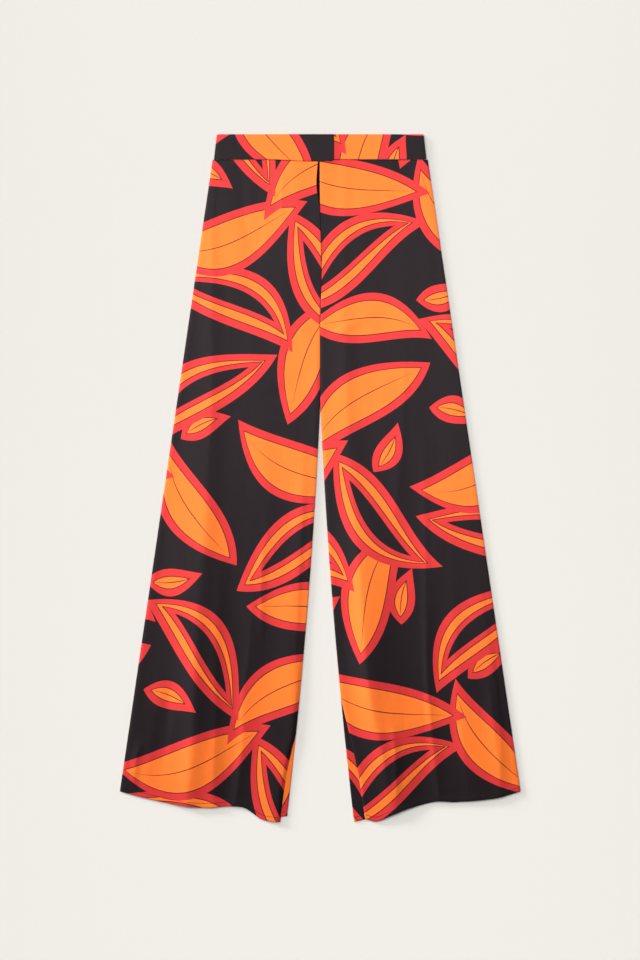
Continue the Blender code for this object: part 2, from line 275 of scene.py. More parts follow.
# Long folds, from the side seam inwards. Columns: drop, place across, rise, outer reach, inner reach.
LONG_FOLDS = {
    Side.RIGHT: (
        (
            FoldRow(0.050, 0.010, 0.0004, 0.026, 0.016),
            FoldRow(0.170, 0.095, 0.0008, 0.028, 0.018),
            FoldRow(0.265, 0.155, 0.0010, 0.028, 0.026),
            FoldRow(0.360, 0.210, 0.0013, 0.036, 0.026),
            FoldRow(0.455, 0.250, 0.0022, 0.048, 0.026),
            FoldRow(0.555, 0.280, 0.0030, 0.070, 0.052),
            FoldRow(0.650, 0.315, 0.0040, 0.082, 0.054),
            FoldRow(0.745, 0.330, 0.0056, 0.080, 0.068),
            FoldRow(0.825, 0.345, 0.0066, 0.064, 0.070),
            FoldRow(0.905, 0.370, 0.0068, 0.052, 0.072),
            FoldRow(1.015, 0.410, 0.0052, 0.042, 0.074),
            FoldRow(1.075, 0.425, 0.0024, 0.038, 0.060),
        ),
        (
            FoldRow(0.650, 0.425, 0.0000, 0.026, 0.022),
            FoldRow(0.745, 0.440, 0.0007, 0.026, 0.022),
            FoldRow(0.825, 0.460, 0.0011, 0.026, 0.022),
            FoldRow(0.905, 0.495, 0.0013, 0.026, 0.022),
            FoldRow(1.015, 0.550, 0.0013, 0.026, 0.022),
            FoldRow(1.075, 0.585, 0.0008, 0.026, 0.022),
        ),
        (
            FoldRow(0.490, 0.685, 0.0000, 0.032, 0.016),
            FoldRow(0.555, 0.695, 0.0003, 0.032, 0.016),
            FoldRow(0.650, 0.700, 0.0007, 0.036, 0.018),
            FoldRow(0.745, 0.660, 0.0008, 0.028, 0.032),
            FoldRow(0.825, 0.665, 0.0012, 0.022, 0.032),
            FoldRow(0.905, 0.665, 0.0013, 0.018, 0.038),
            FoldRow(1.015, 0.710, 0.0012, 0.016, 0.022),
            FoldRow(1.075, 0.715, 0.0007, 0.016, 0.022),
        ),
        (
            FoldRow(0.475, 0.895, 0.0000, 0.026, 0.012),
            FoldRow(0.555, 0.915, 0.0006, 0.032, 0.012),
            FoldRow(0.650, 0.925, 0.0011, 0.034, 0.012),
            FoldRow(0.745, 0.935, 0.0013, 0.038, 0.014),
            FoldRow(0.825, 0.950, 0.0014, 0.044, 0.018),
            FoldRow(0.905, 0.965, 0.0015, 0.046, 0.022),
            FoldRow(1.015, 0.970, 0.0015, 0.046, 0.026),
            FoldRow(1.075, 0.960, 0.0010, 0.042, 0.026),
        ),
    ),
    Side.LEFT: (
        (
            FoldRow(0.680, 0.080, 0.0000, 0.012, 0.064),
            FoldRow(0.745, 0.065, 0.0005, 0.014, 0.074),
            FoldRow(0.825, 0.065, 0.0009, 0.016, 0.074),
            FoldRow(0.905, 0.065, 0.0012, 0.016, 0.076),
            FoldRow(0.970, 0.080, 0.0015, 0.018, 0.076),
            FoldRow(1.015, 0.110, 0.0017, 0.022, 0.074),
            FoldRow(1.075, 0.160, 0.0012, 0.026, 0.064),
        ),
        (
            FoldRow(0.475, 0.105, 0.0000, 0.048, 0.020),
            FoldRow(0.555, 0.150, 0.0003, 0.048, 0.020),
            FoldRow(0.650, 0.205, 0.0005, 0.048, 0.020),
            FoldRow(0.745, 0.245, 0.0007, 0.048, 0.020),
            FoldRow(0.825, 0.270, 0.0008, 0.048, 0.020),
            FoldRow(0.905, 0.290, 0.0009, 0.048, 0.020),
            FoldRow(1.015, 0.315, 0.0008, 0.048, 0.022),
            FoldRow(1.075, 0.330, 0.0005, 0.048, 0.022),
        ),
        (
            FoldRow(0.475, 0.300, 0.0000, 0.012, 0.014),
            FoldRow(0.555, 0.335, 0.0004, 0.012, 0.014),
            FoldRow(0.650, 0.375, 0.0008, 0.014, 0.016),
            FoldRow(0.745, 0.415, 0.0012, 0.020, 0.016),
            FoldRow(0.825, 0.450, 0.0013, 0.018, 0.012),
            FoldRow(0.905, 0.475, 0.0014, 0.018, 0.012),
            FoldRow(1.015, 0.510, 0.0011, 0.020, 0.014),
            FoldRow(1.075, 0.515, 0.0008, 0.018, 0.018),
        ),
        (
            FoldRow(0.330, 0.370, 0.0000, 0.012, 0.022),
            FoldRow(0.360, 0.380, 0.0004, 0.012, 0.026),
            FoldRow(0.455, 0.430, 0.0006, 0.012, 0.026),
            FoldRow(0.555, 0.510, 0.0008, 0.022, 0.028),
            FoldRow(0.650, 0.565, 0.0000, 0.022, 0.028),
        ),
        (
            FoldRow(0.050, 0.770, 0.0003, 0.016, 0.022),
            FoldRow(0.145, 0.795, 0.0006, 0.022, 0.026),
            FoldRow(0.265, 0.825, 0.0009, 0.026, 0.028),
            FoldRow(0.360, 0.810, 0.0012, 0.026, 0.036),
            FoldRow(0.455, 0.815, 0.0017, 0.028, 0.042),
            FoldRow(0.555, 0.820, 0.0032, 0.062, 0.042),
            FoldRow(0.650, 0.810, 0.0052, 0.090, 0.044),
            FoldRow(0.745, 0.810, 0.0068, 0.090, 0.042),
            FoldRow(0.825, 0.820, 0.0070, 0.090, 0.038),
            FoldRow(0.905, 0.820, 0.0068, 0.084, 0.038),
            FoldRow(1.015, 0.820, 0.0048, 0.074, 0.038),
            FoldRow(1.075, 0.815, 0.0024, 0.064, 0.038),
        ),
    ),
}

# Short creases of the fronts and the backs. Columns: one end, other end, rise, reach, bow.
FRONT_CREASES = {
    Side.RIGHT: (
        Crease((0.010, 0.330), (0.085, 0.262), 0.0009, 0.016, 0.006),
        Crease((0.012, 0.372), (0.100, 0.430), -0.0007, 0.020, -0.008),
        Crease((0.125, 0.060), (0.112, 0.190), -0.0006, 0.014, 0.003),
        Crease((0.060, 0.050), (0.066, 0.150), 0.0005, 0.012, -0.002),
        Crease((0.285, 0.960), (0.300, 1.055), 0.0012, 0.016, 0.003),
        Crease((0.235, 0.860), (0.262, 1.065), -0.0012, 0.020, 0.004),
        Crease((0.090, 0.640), (0.092, 0.820), 0.0011, 0.014, 0.003),
    ),
    Side.LEFT: (
        Crease((0.012, 0.335), (0.088, 0.285), 0.0008, 0.016, 0.005),
        Crease((0.014, 0.385), (0.095, 0.450), -0.0006, 0.018, -0.006),
        Crease((0.118, 0.055), (0.128, 0.200), -0.0006, 0.016, -0.003),
        Crease((0.270, 0.850), (0.292, 1.050), 0.0010, 0.018, -0.003),
        Crease((0.115, 0.930), (0.122, 1.085), 0.0013, 0.014, 0.002),
        Crease((0.165, 0.420), (0.186, 0.560), -0.0009, 0.022, 0.004),
    ),
}
BACK_CREASES = {
    Side.RIGHT: (
        Crease((0.060, 0.250), (0.120, 0.900), 0.0004, 0.022, 0.006),
        Crease((0.140, 0.300), (0.235, 1.020), 0.0004, 0.026, -0.008),
        Crease((0.012, 0.330), (0.090, 0.255), 0.0003, 0.015, 0.005),
    ),
    Side.LEFT: (
        Crease((0.075, 0.280), (0.150, 0.980), 0.0004, 0.024, -0.006),
        Crease((0.150, 0.220), (0.250, 0.880), 0.0004, 0.022, 0.008),
        Crease((0.012, 0.345), (0.095, 0.280), 0.0003, 0.015, -0.005),
    ),
}

# Hem lines. Columns: place across the leg, drop of the hem there.
FRONT_HEMS = {
    Side.RIGHT: (
        EdgeRow(0.000, 1.0507),
        EdgeRow(0.131, 1.0597),
        EdgeRow(0.400, 1.0742),
        EdgeRow(0.548, 1.0768),
        EdgeRow(0.679, 1.0747),
        EdgeRow(0.775, 1.0776),
        EdgeRow(0.879, 1.0946),
        EdgeRow(0.940, 1.0985),
        EdgeRow(1.000, 1.1000),
    ),
    Side.LEFT: (
        EdgeRow(0.000, 1.0507),
        EdgeRow(0.168, 1.0622),
        EdgeRow(0.423, 1.0680),
        EdgeRow(0.541, 1.0672),
        EdgeRow(0.729, 1.0794),
        EdgeRow(0.831, 1.0891),
        EdgeRow(0.932, 1.0988),
        EdgeRow(1.000, 1.0945),
    ),
}
BACK_HEMS = {
    Side.RIGHT: (
        EdgeRow(0.000, 1.0490),
        EdgeRow(0.400, 1.0715),
        EdgeRow(0.740, 1.0735),
        EdgeRow(0.900, 1.0920),
        EdgeRow(1.000, 1.0905),
    ),
    Side.LEFT: (
        EdgeRow(0.000, 1.0500),
        EdgeRow(0.200, 1.0600),
        EdgeRow(0.420, 1.0650),
        EdgeRow(0.560, 1.0650),
        EdgeRow(0.740, 1.0775),
        EdgeRow(0.880, 1.0915),
        EdgeRow(1.000, 1.0998),
    ),
}

# How far each front leg's inseam sits inside the back leg's edge. Columns: drop, distance.
INSEAM_INSETS = {
    Side.RIGHT: (
        EdgeRow(0.960, 0.0000),
        EdgeRow(1.020, 0.0080),
        EdgeRow(1.100, 0.0100),
    ),
    Side.LEFT: (
        EdgeRow(0.900, 0.0000),
        EdgeRow(1.020, 0.0150),
        EdgeRow(1.100, 0.0185),
    ),
}

# The centre front line's sway to the wearer's left, and the lap's edge off it. Columns: drop, distance.
CENTRE_SWAY = (
    EdgeRow(0.040, -0.0010),
    EdgeRow(0.112, -0.0004),
    EdgeRow(0.217, 0.0020),
    EdgeRow(0.300, 0.0000),
)
LAP_STAND_OFF = (
    EdgeRow(0.040, 0.0022),
    EdgeRow(0.072, 0.0050),
    EdgeRow(0.090, 0.0043),
    EdgeRow(0.114, 0.0000),
)


@dataclass(frozen=True)
class Wave:
    """A slight wave in the cloth: its height, its turn for each metre across and along, and its start."""

    rise: float
    across: float
    along: float
    phase: float


WAVES = (
    Wave(0.00016, 71.0, 9.0, 0.4),
    Wave(0.00011, 118.0, -17.0, 1.9),
    Wave(0.00007, 39.0, 31.0, 3.3),
    Wave(0.00006, 163.0, 22.0, 5.1),
)


@dataclass
class Laid:
    """Where a patch of cloth lies: each point's place, and the height of its two faces."""

    x: Array
    y: Array
    under: Array
    over: Array


@dataclass(frozen=True)
class Grain:
    """How a piece was laid on the printed cloth before it was cut."""

    turn: float = 0.0
    offset: Tuple[float, float] = (0.0, 0.0)

    def on_cloth(self, x: Array, y: Array) -> Array:
        """The place on the cloth of points of the piece.

        Args:
            x: Their X.
            y: Their Y.

        Returns:
            Rows of cloth coordinates, in metres.
        """
        turn = math.radians(self.turn)
        across = math.cos(turn) * x - math.sin(turn) * y + self.offset[0]
        along = math.sin(turn) * x + math.cos(turn) * y + self.offset[1]
        return np.stack([across, along], axis=1)


CLOTH_MAP = "cloth"
SHARP_ANGLE = math.radians(50)


def finish_mesh(name: str, shape: Shape, finish: bpy.types.Material) -> Piece:
    """Puts a finished shape in the scene as a piece.

    Args:
        name: The piece's name.
        shape: Its bmesh, which is freed.
        finish: Its material.

    Returns:
        The new object, at the origin.
    """
    mesh = bpy.data.meshes.new(name)
    shape.to_mesh(mesh)
    shape.free()
    mesh.shade_smooth()
    mesh.set_sharp_from_angle(angle=SHARP_ANGLE)
    mesh.materials.append(finish)
    piece = bpy.data.objects.new(name, mesh)
    bpy.context.scene.collection.objects.link(piece)
    return piece


def map_cloth(piece: Piece, grain: Grain) -> None:
    """Gives a piece its UV map in metres of flat cloth.

    Args:
        piece: A mesh piece that lies nearly flat.
        grain: How it was laid on the cloth.
    """
    mesh = piece.data
    points = np.zeros(len(mesh.vertices) * 3, np.float32)
    corners = np.zeros(len(mesh.loops), np.int32)
    mesh.vertices.foreach_get("co", points)
    mesh.loops.foreach_get("vertex_index", corners)
    points = points.reshape(-1, 3)
    places = grain.on_cloth(points[:, 0], points[:, 1])[corners]
    layer = mesh.uv_layers.new(name=CLOTH_MAP)
    layer.data.foreach_set("uv", places.astype(np.float32).ravel())


def cloth_wall(columns: int, rows: int, lay: Callable[[Array, Array], Laid]) -> Shape:
    """A closed wall of cloth: a grid, doubled and joined round its rim, each face laid by a rule.

    Args:
        columns: Cells across.
        rows: Cells down.
        lay: The rule, from (across, down) to places.

    Returns:
        The wall's bmesh.
    """
    wall = bmesh.new()
    bmesh.ops.create_grid(wall, x_segments=columns, y_segments=rows, size=0.5)
    doubled = bmesh.ops.extrude_face_region(wall, geom=wall.faces[:])
    for item in doubled["geom"]:
        if isinstance(item, bmesh.types.BMVert):
            item.co.z = 1.0
    places = np.array([vertex.co for vertex in wall.verts])
    laid = lay(places[:, 0] + 0.5, 0.5 - places[:, 1])
    height = np.where(places[:, 2] > 0.5, laid.over, laid.under)
    for vertex, place in zip(wall.verts, np.stack([laid.x, laid.y, height], axis=1)):
        vertex.co = place
    bmesh.ops.recalc_face_normals(wall, faces=wall.faces[:])
    return wall


def add_bead(row: Shape, place: Sequence[float], size: Point, turn: Matrix) -> None:
    """Adds one small rounded body, as stitches and zip teeth are.

    Args:
        row: The bmesh it goes into.
        place: Its middle.
        size: Its size along its own X, Y and Z.
        turn: Its turn, as a matrix.
    """
    bead = bmesh.ops.create_icosphere(row, subdivisions=1, radius=0.5)["verts"]
    bmesh.ops.scale(row, vec=size, verts=bead)
    bmesh.ops.rotate(row, cent=(0.0, 0.0, 0.0), matrix=turn, verts=bead)
    bmesh.ops.translate(row, vec=place, verts=bead)


def declare(piece: Piece, node: str = "") -> None:
    """Hangs a piece on the root body, and hides the node that it stands for.

    Args:
        piece: The piece, which rides on the root.
        node: The node that it stands for, if it stands for one.
    """
    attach(piece, "root")
    if node:
        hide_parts(node)


# ---------------- finishes


class NodeBench:
    """Adds shader nodes to a tree and joins them as they come."""

    def __init__(self, tree: bpy.types.NodeTree) -> None:
        """Takes the tree to work on."""
        self.tree = tree

    def node(self, kind: str, *values: object, **settings: object) -> bpy.types.Node:
        """Adds one node.

        Args:
            kind: Its type.
            values: What its inputs get, in order: other nodes' outputs, constants, or None to leave one out.
            settings: Its properties.

        Returns:
            The node.
        """
        made = self.tree.nodes.new(kind)
        for name, value in settings.items():
            setattr(made, name, value)
        for socket, value in zip(made.inputs, values):
            self.feed(socket, value)
        return made

    def feed(self, socket: Socket, value: object) -> None:
        """Links a socket to an output, or sets it to a constant.

        Args:
            socket: The socket.
            value: The output, the constant, or None to leave the socket as it is.
        """
        if isinstance(value, Socket):
            self.tree.links.new(value, socket)
        elif value is not None:
            socket.default_value = value

    def fill(self, node: bpy.types.Node, values: Dict[str, object]) -> None:
        """Feeds a node's sockets by their names."""
        for name, value in values.items():
            self.feed(node.inputs[name], value)

    def math(self, operation: str, *values: object) -> Socket:
        """One Math node."""
        return self.node("ShaderNodeMath", *values, operation=operation).outputs["Value"]

    def times(self, first: object, second: object) -> Socket:
        """One number times another."""
        return self.math("MULTIPLY", first, second)

    def minus(self, first: object, second: object) -> Socket:
        """One number less another."""
        return self.math("SUBTRACT", first, second)

    def above(self, value: object, limit: object) -> Socket:
        """1 where a number is above a limit, and 0 elsewhere."""
        return self.math("GREATER_THAN", value, limit)

    def around(self, middle: float, share: object, spread: float) -> Socket:
        """A number that spreads round a middle as a share runs from 0 to 1."""
        return self.math("MULTIPLY_ADD", share, spread, middle - spread / 2)

    def vector(self, operation: str, *values: object) -> Socket:
        """One Vector Math node that gives a vector."""
        return self.node("ShaderNodeVectorMath", *values, operation=operation).outputs["Vector"]

    def dot(self, first: object, second: object) -> Socket:
        """The dot product of two vectors."""
        return self.node("ShaderNodeVectorMath", first, second, operation="DOT_PRODUCT").outputs["Value"]

    def shaded(self, colour: object, tone: object) -> Socket:
        """A colour times a tone, which is the node's fourth input."""
        return self.vector("SCALE", colour, None, None, tone)

    def blend(self, share: object, first: object, second: object) -> Socket:
        """A number between two others."""
        return self.node("ShaderNodeMix", share, None, first, second, data_type="FLOAT").outputs[0]

    def tint(self, share: object, first: object, second: object) -> Socket:
        """A colour between two others, which come after five inputs for other types."""
        return self.node("ShaderNodeMix", share, *[None] * 5, first, second, data_type="RGBA").outputs[2]

    def place(self) -> Socket:
        """The place on the piece, in metres."""
        return self.node("ShaderNodeTexCoord").outputs["Object"]

    def noise(self, place: object, scale: float, detail: float = 2.0, dimensions: str = "3D") -> Socket:
        """Noise from 0 to 1.

        Args:
            place: Where it is read.
            scale: Its waves in one unit of the place.
            detail: How many finer octaves it has.
            dimensions: How many of the place's dimensions it follows.

        Returns:
            The noise.
        """
        made = self.node("ShaderNodeTexNoise", noise_dimensions=dimensions)
        self.fill(made, {"Vector": place, "Scale": scale, "Detail": detail})
        return made.outputs[0]

    def bump(self, height: object, distance: float, normal: object = None) -> Socket:
        """A normal that follows a relief.

        Args:
            height: The relief, as a number.
            distance: How high one unit of it stands, in metres.
            normal: The normal that it is laid over, if it isn't the bare surface's.

        Returns:
            The new normal.
        """
        made = self.node("ShaderNodeBump")
        self.fill(made, {"Strength": 1.0, "Distance": distance, "Height": height, "Normal": normal})
        return made.outputs["Normal"]


def opaque(colour: Colour) -> Tuple[float, float, float, float]:
    """A colour with full alpha, as sockets take it."""
    return (*colour, 1.0)


@dataclass(frozen=True)
class Finish(ABC):
    """A finish, which makes its own material."""

    name: str

    def material(self) -> bpy.types.Material:
        """Builds the finish.

        Returns:
            The material.
        """
        made = bpy.data.materials.new(self.name)
        made.use_nodes = True
        bench = NodeBench(made.node_tree)
        bench.fill(made.node_tree.nodes["Principled BSDF"], self.sockets(bench))
        return made

    @abstractmethod
    def sockets(self, bench: NodeBench) -> Dict[str, object]:
        """What the shader's sockets get.

        Args:
            bench: The bench of the material's tree.

        Returns:
            A constant or a node's output for each socket's name.
        """


@dataclass(frozen=True)
class Leaf:
    """One leaf of the print: its middle on the repeat, its turn in degrees, and its shape.

    Bend curves its rib to one side, and sway curves it to one side and back. Taper narrows its far end. A
    slit leaf shows the ground through its middle, and a leaf with no slit has a thin rib.
    """

    x: float
    y: float
    turn: float
    half_length: float
    half_width: float
    bend: float
    sway: float = 0.0
    taper: float = 0.15
    slit: float = 0.0


# The print's repeat; later leaves lie on earlier ones.
# Columns: x, y, turn, half length, half width, bend, then sway, and a slit or a taper of its own.
LEAVES = (
    Leaf(0.125, 0.385, 75, 0.046, 0.0215, 0.008, taper=0.40),
    Leaf(0.225, 0.668, -20, 0.046, 0.0215, 0.008, taper=0.40),
    Leaf(0.108, 0.625, 60, 0.044, 0.0205, -0.008, taper=0.40),
    Leaf(0.252, 0.268, 28, 0.044, 0.0205, 0.008, taper=0.40),
    Leaf(0.218, 0.026, 12, 0.046, 0.0215, -0.008, taper=0.40),
    Leaf(0.090, 0.075, 30, 0.128, 0.0460, 0.030, 0.020, slit=0.013),
    Leaf(0.255, 0.150, 122, 0.116, 0.0420, 0.026, 0.012),
    Leaf(0.085, 0.235, -22, 0.132, 0.0470, -0.034, 0.022),
    Leaf(0.260, 0.310, 40, 0.128, 0.0460, 0.030, -0.020, slit=0.013),
    Leaf(0.090, 0.390, 66, 0.118, 0.0420, 0.028, 0.014),
    Leaf(0.265, 0.455, 154, 0.130, 0.0470, -0.030, 0.024, slit=0.013),
    Leaf(0.105, 0.525, -50, 0.126, 0.0460, -0.030, -0.018, slit=0.013),
    Leaf(0.265, 0.600, 18, 0.130, 0.0470, -0.034, 0.022),
    Leaf(0.085, 0.680, -144, 0.128, 0.0450, -0.030, -0.020),
    Leaf(0.255, 0.735, -48, 0.122, 0.0450, 0.030, -0.018, slit=0.013),
    Leaf(0.095, 0.810, -10, 0.100, 0.0400, 0.024, 0.014),
)


@dataclass(frozen=True)
class LeafPrint:
    """The printed pattern: large leaves with a border, an outline and a heart, on a dark ground."""

    repeat: Tuple[float, float] = (0.34, 0.84)
    border: float = 0.0122
    slit_border: float = 0.0084
    slit_length: float = 0.62
    rib_length: float = 0.80
    line: float = 0.0008
    ground: Colour = (0.0048, 0.0022, 0.0034)
    rim: Colour = (0.660, 0.0300, 0.0290)
    heart: Colour = (0.980, 0.191, 0.0205)
    outline: Colour = (0.136, 0.008, 0.007)

    def stamp(self) -> bpy.types.NodeTree:
        """The node group that lays one leaf over those before it.

        Returns:
            A group that takes the cloth's coordinates, a leaf's numbers and the print below it, and gives the
            depth inside the topmost leaf's edge and inside its slit's edge.
        """
        group = bpy.data.node_groups.new("leaf_stamp", "ShaderNodeTree")
        numbers = ("Bend", "Sway", "Width", "Taper", "Slit", "Slit Fall", "Depth Below", "Slit Below")
        sockets = (
            ("INPUT", "NodeSocketVector", ("Cloth", "Middle", "Along", "Athwart")),
            ("INPUT", "NodeSocketFloat", numbers),
            ("OUTPUT", "NodeSocketFloat", ("Depth", "Slit")),
        )
        for in_out, kind, names in sockets:
            for name in names:
                group.interface.new_socket(name=name, in_out=in_out, socket_type=kind)
        bench = NodeBench(group)
        given = bench.node("NodeGroupInput").outputs
        half = (self.repeat[0] / 2, self.repeat[1] / 2, 1.0)
        place = bench.vector("SUBTRACT", given["Cloth"], given["Middle"])
        place = bench.vector("WRAP", place, half, tuple(-size for size in half))
        along = bench.dot(place, given["Along"])
        squared = bench.times(along, along)
        body = bench.minus(1.0, squared)
        rib = bench.times(body, bench.math("MULTIPLY_ADD", along, given["Sway"], given["Bend"]))
        off = bench.math("ABSOLUTE", bench.minus(bench.dot(place, given["Athwart"]), rib))
        taper = bench.math("MAXIMUM", bench.minus(1.0, bench.times(along, given["Taper"])), 0.0)
        depth = bench.minus(bench.times(bench.times(body, given["Width"]), taper), off)
        slit = bench.minus(bench.minus(given["Slit"], bench.times(squared, given["Slit Fall"])), off)
        inside = bench.above(depth, 0.0)
        topmost = {
            "Depth": bench.blend(inside, given["Depth Below"], depth),
            "Slit": bench.blend(inside, given["Slit Below"], slit),
        }
        bench.fill(bench.node("NodeGroupOutput"), topmost)
        return group

    def paint(self, bench: NodeBench, cloth: Socket) -> Socket:
        """Paints the print.

        Args:
            bench: The bench of the material's tree.
            cloth: The cloth's coordinates, in metres.

        Returns:
            The colour.
        """
        stamp = bpy.data.node_groups.get("leaf_stamp") or self.stamp()
        depth: object = -1.0
        slit: object = -1.0
        for leaf in LEAVES:
            turn = math.radians(leaf.turn)
            fall = leaf.slit / self.slit_length**2 if leaf.slit else self.line / self.rib_length**2
            values = {
                "Cloth": cloth,
                "Middle": (leaf.x, leaf.y, 0.0),
                "Along": (math.cos(turn) / leaf.half_length, math.sin(turn) / leaf.half_length, 0.0),
                "Athwart": (-math.sin(turn), math.cos(turn), 0.0),
                "Bend": leaf.bend,
                "Sway": leaf.sway,
                "Width": leaf.half_width,
                "Taper": leaf.taper,
                "Slit": leaf.slit or -self.slit_border,
                "Slit Fall": fall,
                "Depth Below": depth,
                "Slit Below": slit,
            }
            made = bench.node("ShaderNodeGroup", node_tree=stamp)
            bench.fill(made, values)
            depth, slit = made.outputs["Depth"], made.outputs["Slit"]
        in_heart = bench.above(depth, self.border)
        outer_line = bench.math("COMPARE", depth, self.border, self.line)
        slit_line = bench.times(in_heart, bench.math("COMPARE", slit, -self.slit_border, self.line))
        coats = (
            (bench.above(depth, 0.0), self.rim),
            (in_heart, self.heart),
            (bench.times(in_heart, bench.above(slit, self.line - self.slit_border)), self.rim),
            (bench.times(in_heart, bench.above(slit, 0.0)), self.ground),
            (bench.math("MAXIMUM", outer_line, slit_line), self.outline),
        )
        colour: object = opaque(self.ground)
        for where, paint in coats:
            colour = bench.tint(where, colour, opaque(paint))
        return colour


@dataclass(frozen=True)
class Satin(Finish):
    """Smooth trouser satin with a fine twill, printed or plain."""

    print_design: Optional[LeafPrint] = None
    colour: Colour = (0.0048, 0.0022, 0.0034)
    roughness: float = 0.56
    roughness_spread: float = 0.08
    lustre: float = 0.35
    gloss: float = 0.38
    gloss_tint: Colour = (1.0, 0.84, 0.90)
    sheen: float = 0.03
    sheen_roughness: float = 0.45
    twill_pitch: float = 0.0007
    twill_slope: float = 0.6
    twill_height: float = 0.00001
    slub_size: float = 0.009
    slub_detail: float = 3.0
    slub_height: float = 0.00010
    streak_size: Tuple[float, float] = (0.0065, 0.19)
    streak_height: float = 0.00011
    mottle: float = 0.07

    def sockets(self, bench: NodeBench) -> Dict[str, object]:
        """What the shader's sockets get: the print or the plain colour, and the relief of the weave."""
        cloth = bench.node("ShaderNodeUVMap", uv_map=CLOTH_MAP).outputs["UV"]
        slub = bench.noise(cloth, 1.0 / self.slub_size, self.slub_detail, dimensions="2D")
        stretched = bench.vector("DIVIDE", cloth, (*self.streak_size, 1.0))
        streak = bench.noise(stretched, 1.0, dimensions="2D")
        per_metre = 2 * math.pi / self.twill_pitch
        twill = bench.math("SINE", bench.dot(cloth, (per_metre, per_metre * self.twill_slope, 0.0)))
        normal = bench.bump(slub, self.slub_height)
        normal = bench.bump(streak, self.streak_height, normal)
        colour = self.print_design.paint(bench, cloth) if self.print_design else self.colour
        return {
            "Base Color": bench.shaded(colour, bench.around(1.0, slub, self.mottle)),
            "Roughness": bench.around(self.roughness, slub, self.roughness_spread),
            "Metallic": self.lustre,
            "Specular IOR Level": self.gloss,
            "Specular Tint": opaque(self.gloss_tint),
            "Sheen Weight": self.sheen,
            "Sheen Roughness": self.sheen_roughness,
            "Normal": bench.bump(twill, self.twill_height, normal),
        }


@dataclass(frozen=True)
class Thread(Finish):
    """Sewing thread: a soft lustre with a fine twist."""

    colour: Colour
    roughness: float = 0.6
    gloss: float = 0.2
    twist_pitch: float = 0.0005
    twist_height: float = 0.00003
    twist_contrast: float = 0.5

    def sockets(self, bench: NodeBench) -> Dict[str, object]:
        """What the shader's sockets get: the colour and the relief of the twist."""
        per_metre = 2 * math.pi / self.twist_pitch
        wave = bench.math("SINE", bench.dot(bench.place(), (per_metre, per_metre, per_metre)))
        twist = bench.math("MULTIPLY_ADD", wave, 0.5, 0.5)
        return {
            "Base Color": bench.shaded(self.colour, bench.around(1.0, twist, self.twist_contrast)),
            "Roughness": self.roughness,
            "Specular IOR Level": self.gloss,
            "Normal": bench.bump(twist, self.twist_height),
        }


@dataclass(frozen=True)
class Metal(Finish):
    """Coated metal of the zip's slider, lightly rubbed."""

    colour: Colour = (0.030, 0.026, 0.028)
    metallic: float = 0.8
    roughness: float = 0.35
    roughness_spread: float = 0.2
    rub_scale: float = 900.0
    rub_contrast: float = 0.8

    def sockets(self, bench: NodeBench) -> Dict[str, object]:
        """What the shader's sockets get: a rubbed colour and an uneven polish."""
        rub = bench.noise(bench.place(), self.rub_scale)
        return {
            "Base Color": bench.shaded(self.colour, bench.around(1.0, rub, self.rub_contrast)),
            "Roughness": bench.around(self.roughness, rub, self.roughness_spread),
            "Metallic": self.metallic,
        }


@dataclass(frozen=True)
class FloorFinish(Finish):
    """Plain pale floor, matt. Its tone is evened: darker under the overhead lights, paler away from them."""

    name: str = "pale_floor"
    palest: Colour = (0.930, 0.896, 0.845)
    evenness: float = 1.153
    lights_at: Tuple[float, float] = (0.60, 0.35)
    light_spread: float = 1.315
    light_gain: float = 0.835
    light_fall: float = -2.0
    roughness: float = 0.9
    gloss: float = 0.1

    def sockets(self, bench: NodeBench) -> Dict[str, object]:
        """What the shader's sockets get: the evened tone on a matt ground."""
        at = bench.node("ShaderNodeSeparateXYZ")
        bench.feed(at.inputs[0], bench.place())
        beside = bench.minus(bench.math("ABSOLUTE", at.outputs["X"]), self.lights_at[0])
        beside = bench.math("DIVIDE", bench.math("MAXIMUM", beside, 0.0), self.light_spread)
        along = bench.math("DIVIDE", bench.minus(at.outputs["Y"], self.lights_at[1]), self.light_spread)
        away = bench.math("MULTIPLY_ADD", beside, beside, bench.math("MULTIPLY_ADD", along, along, 1.0))
        lit = bench.math("MULTIPLY_ADD", bench.math("POWER", away, self.light_fall), self.light_gain, 1.0)
        tone = bench.math("MINIMUM", bench.math("DIVIDE", self.evenness, lit), 1.0)
        return {
            "Base Color": bench.shaded(self.palest, tone),
            "Roughness": self.roughness,
            "Specular IOR Level": self.gloss,
        }


class Finishes:
    """Every finish of the pair, made once."""

    def __init__(self) -> None:
        """Builds the materials."""
        design = LeafPrint()
        # The underlap's satin is a plain dark ground painted darker and redder than the print's black, as
        # painted shade for the deep slot of the fly
        underlap = Satin("underlap_satin_painted_shade", colour=(0.005, 0.0016, 0.0016), gloss=0.08, sheen=0.0)
        self.legs = Satin("printed_leg_satin", design).material()
        self.band = Satin("printed_waistband_satin", design).material()
        self.underlap = underlap.material()
        self.hem_thread = Thread("hem_thread", (0.014, 0.003, 0.003)).material()
        self.dark_thread = Thread("dark_thread", (0.030, 0.010, 0.012)).material()
        self.zip_metal = Metal("coated_zip_metal").material()


# ---------------- legs


def crease_height(crease: Crease, x: Array, drop: Array) -> Array:
    """Height of one short crease.

    Args:
        crease: The crease.
        x: Distances from the centre line.
        drop: Drops.

    Returns:
        Its height at each place.
    """
    run = (crease.end[0] - crease.start[0], crease.end[1] - crease.start[1])
    length = math.hypot(*run)
    away_x, away_drop = x - crease.start[0], drop - crease.start[1]
    share = (away_x * run[0] + away_drop * run[1]) / length**2
    off = (away_x * run[1] - away_drop * run[0]) / length
    off = off - crease.bow * (1.0 - (2.0 * share - 1.0) ** 2)
    crest = fold_section(off / crease.reach)
    ends = smooth(share / CREASE_FADE) * smooth((1.0 - share) / CREASE_FADE)
    return crease.rise * crest * ends


Hems = Dict[Side, Tuple[EdgeRow, ...]]


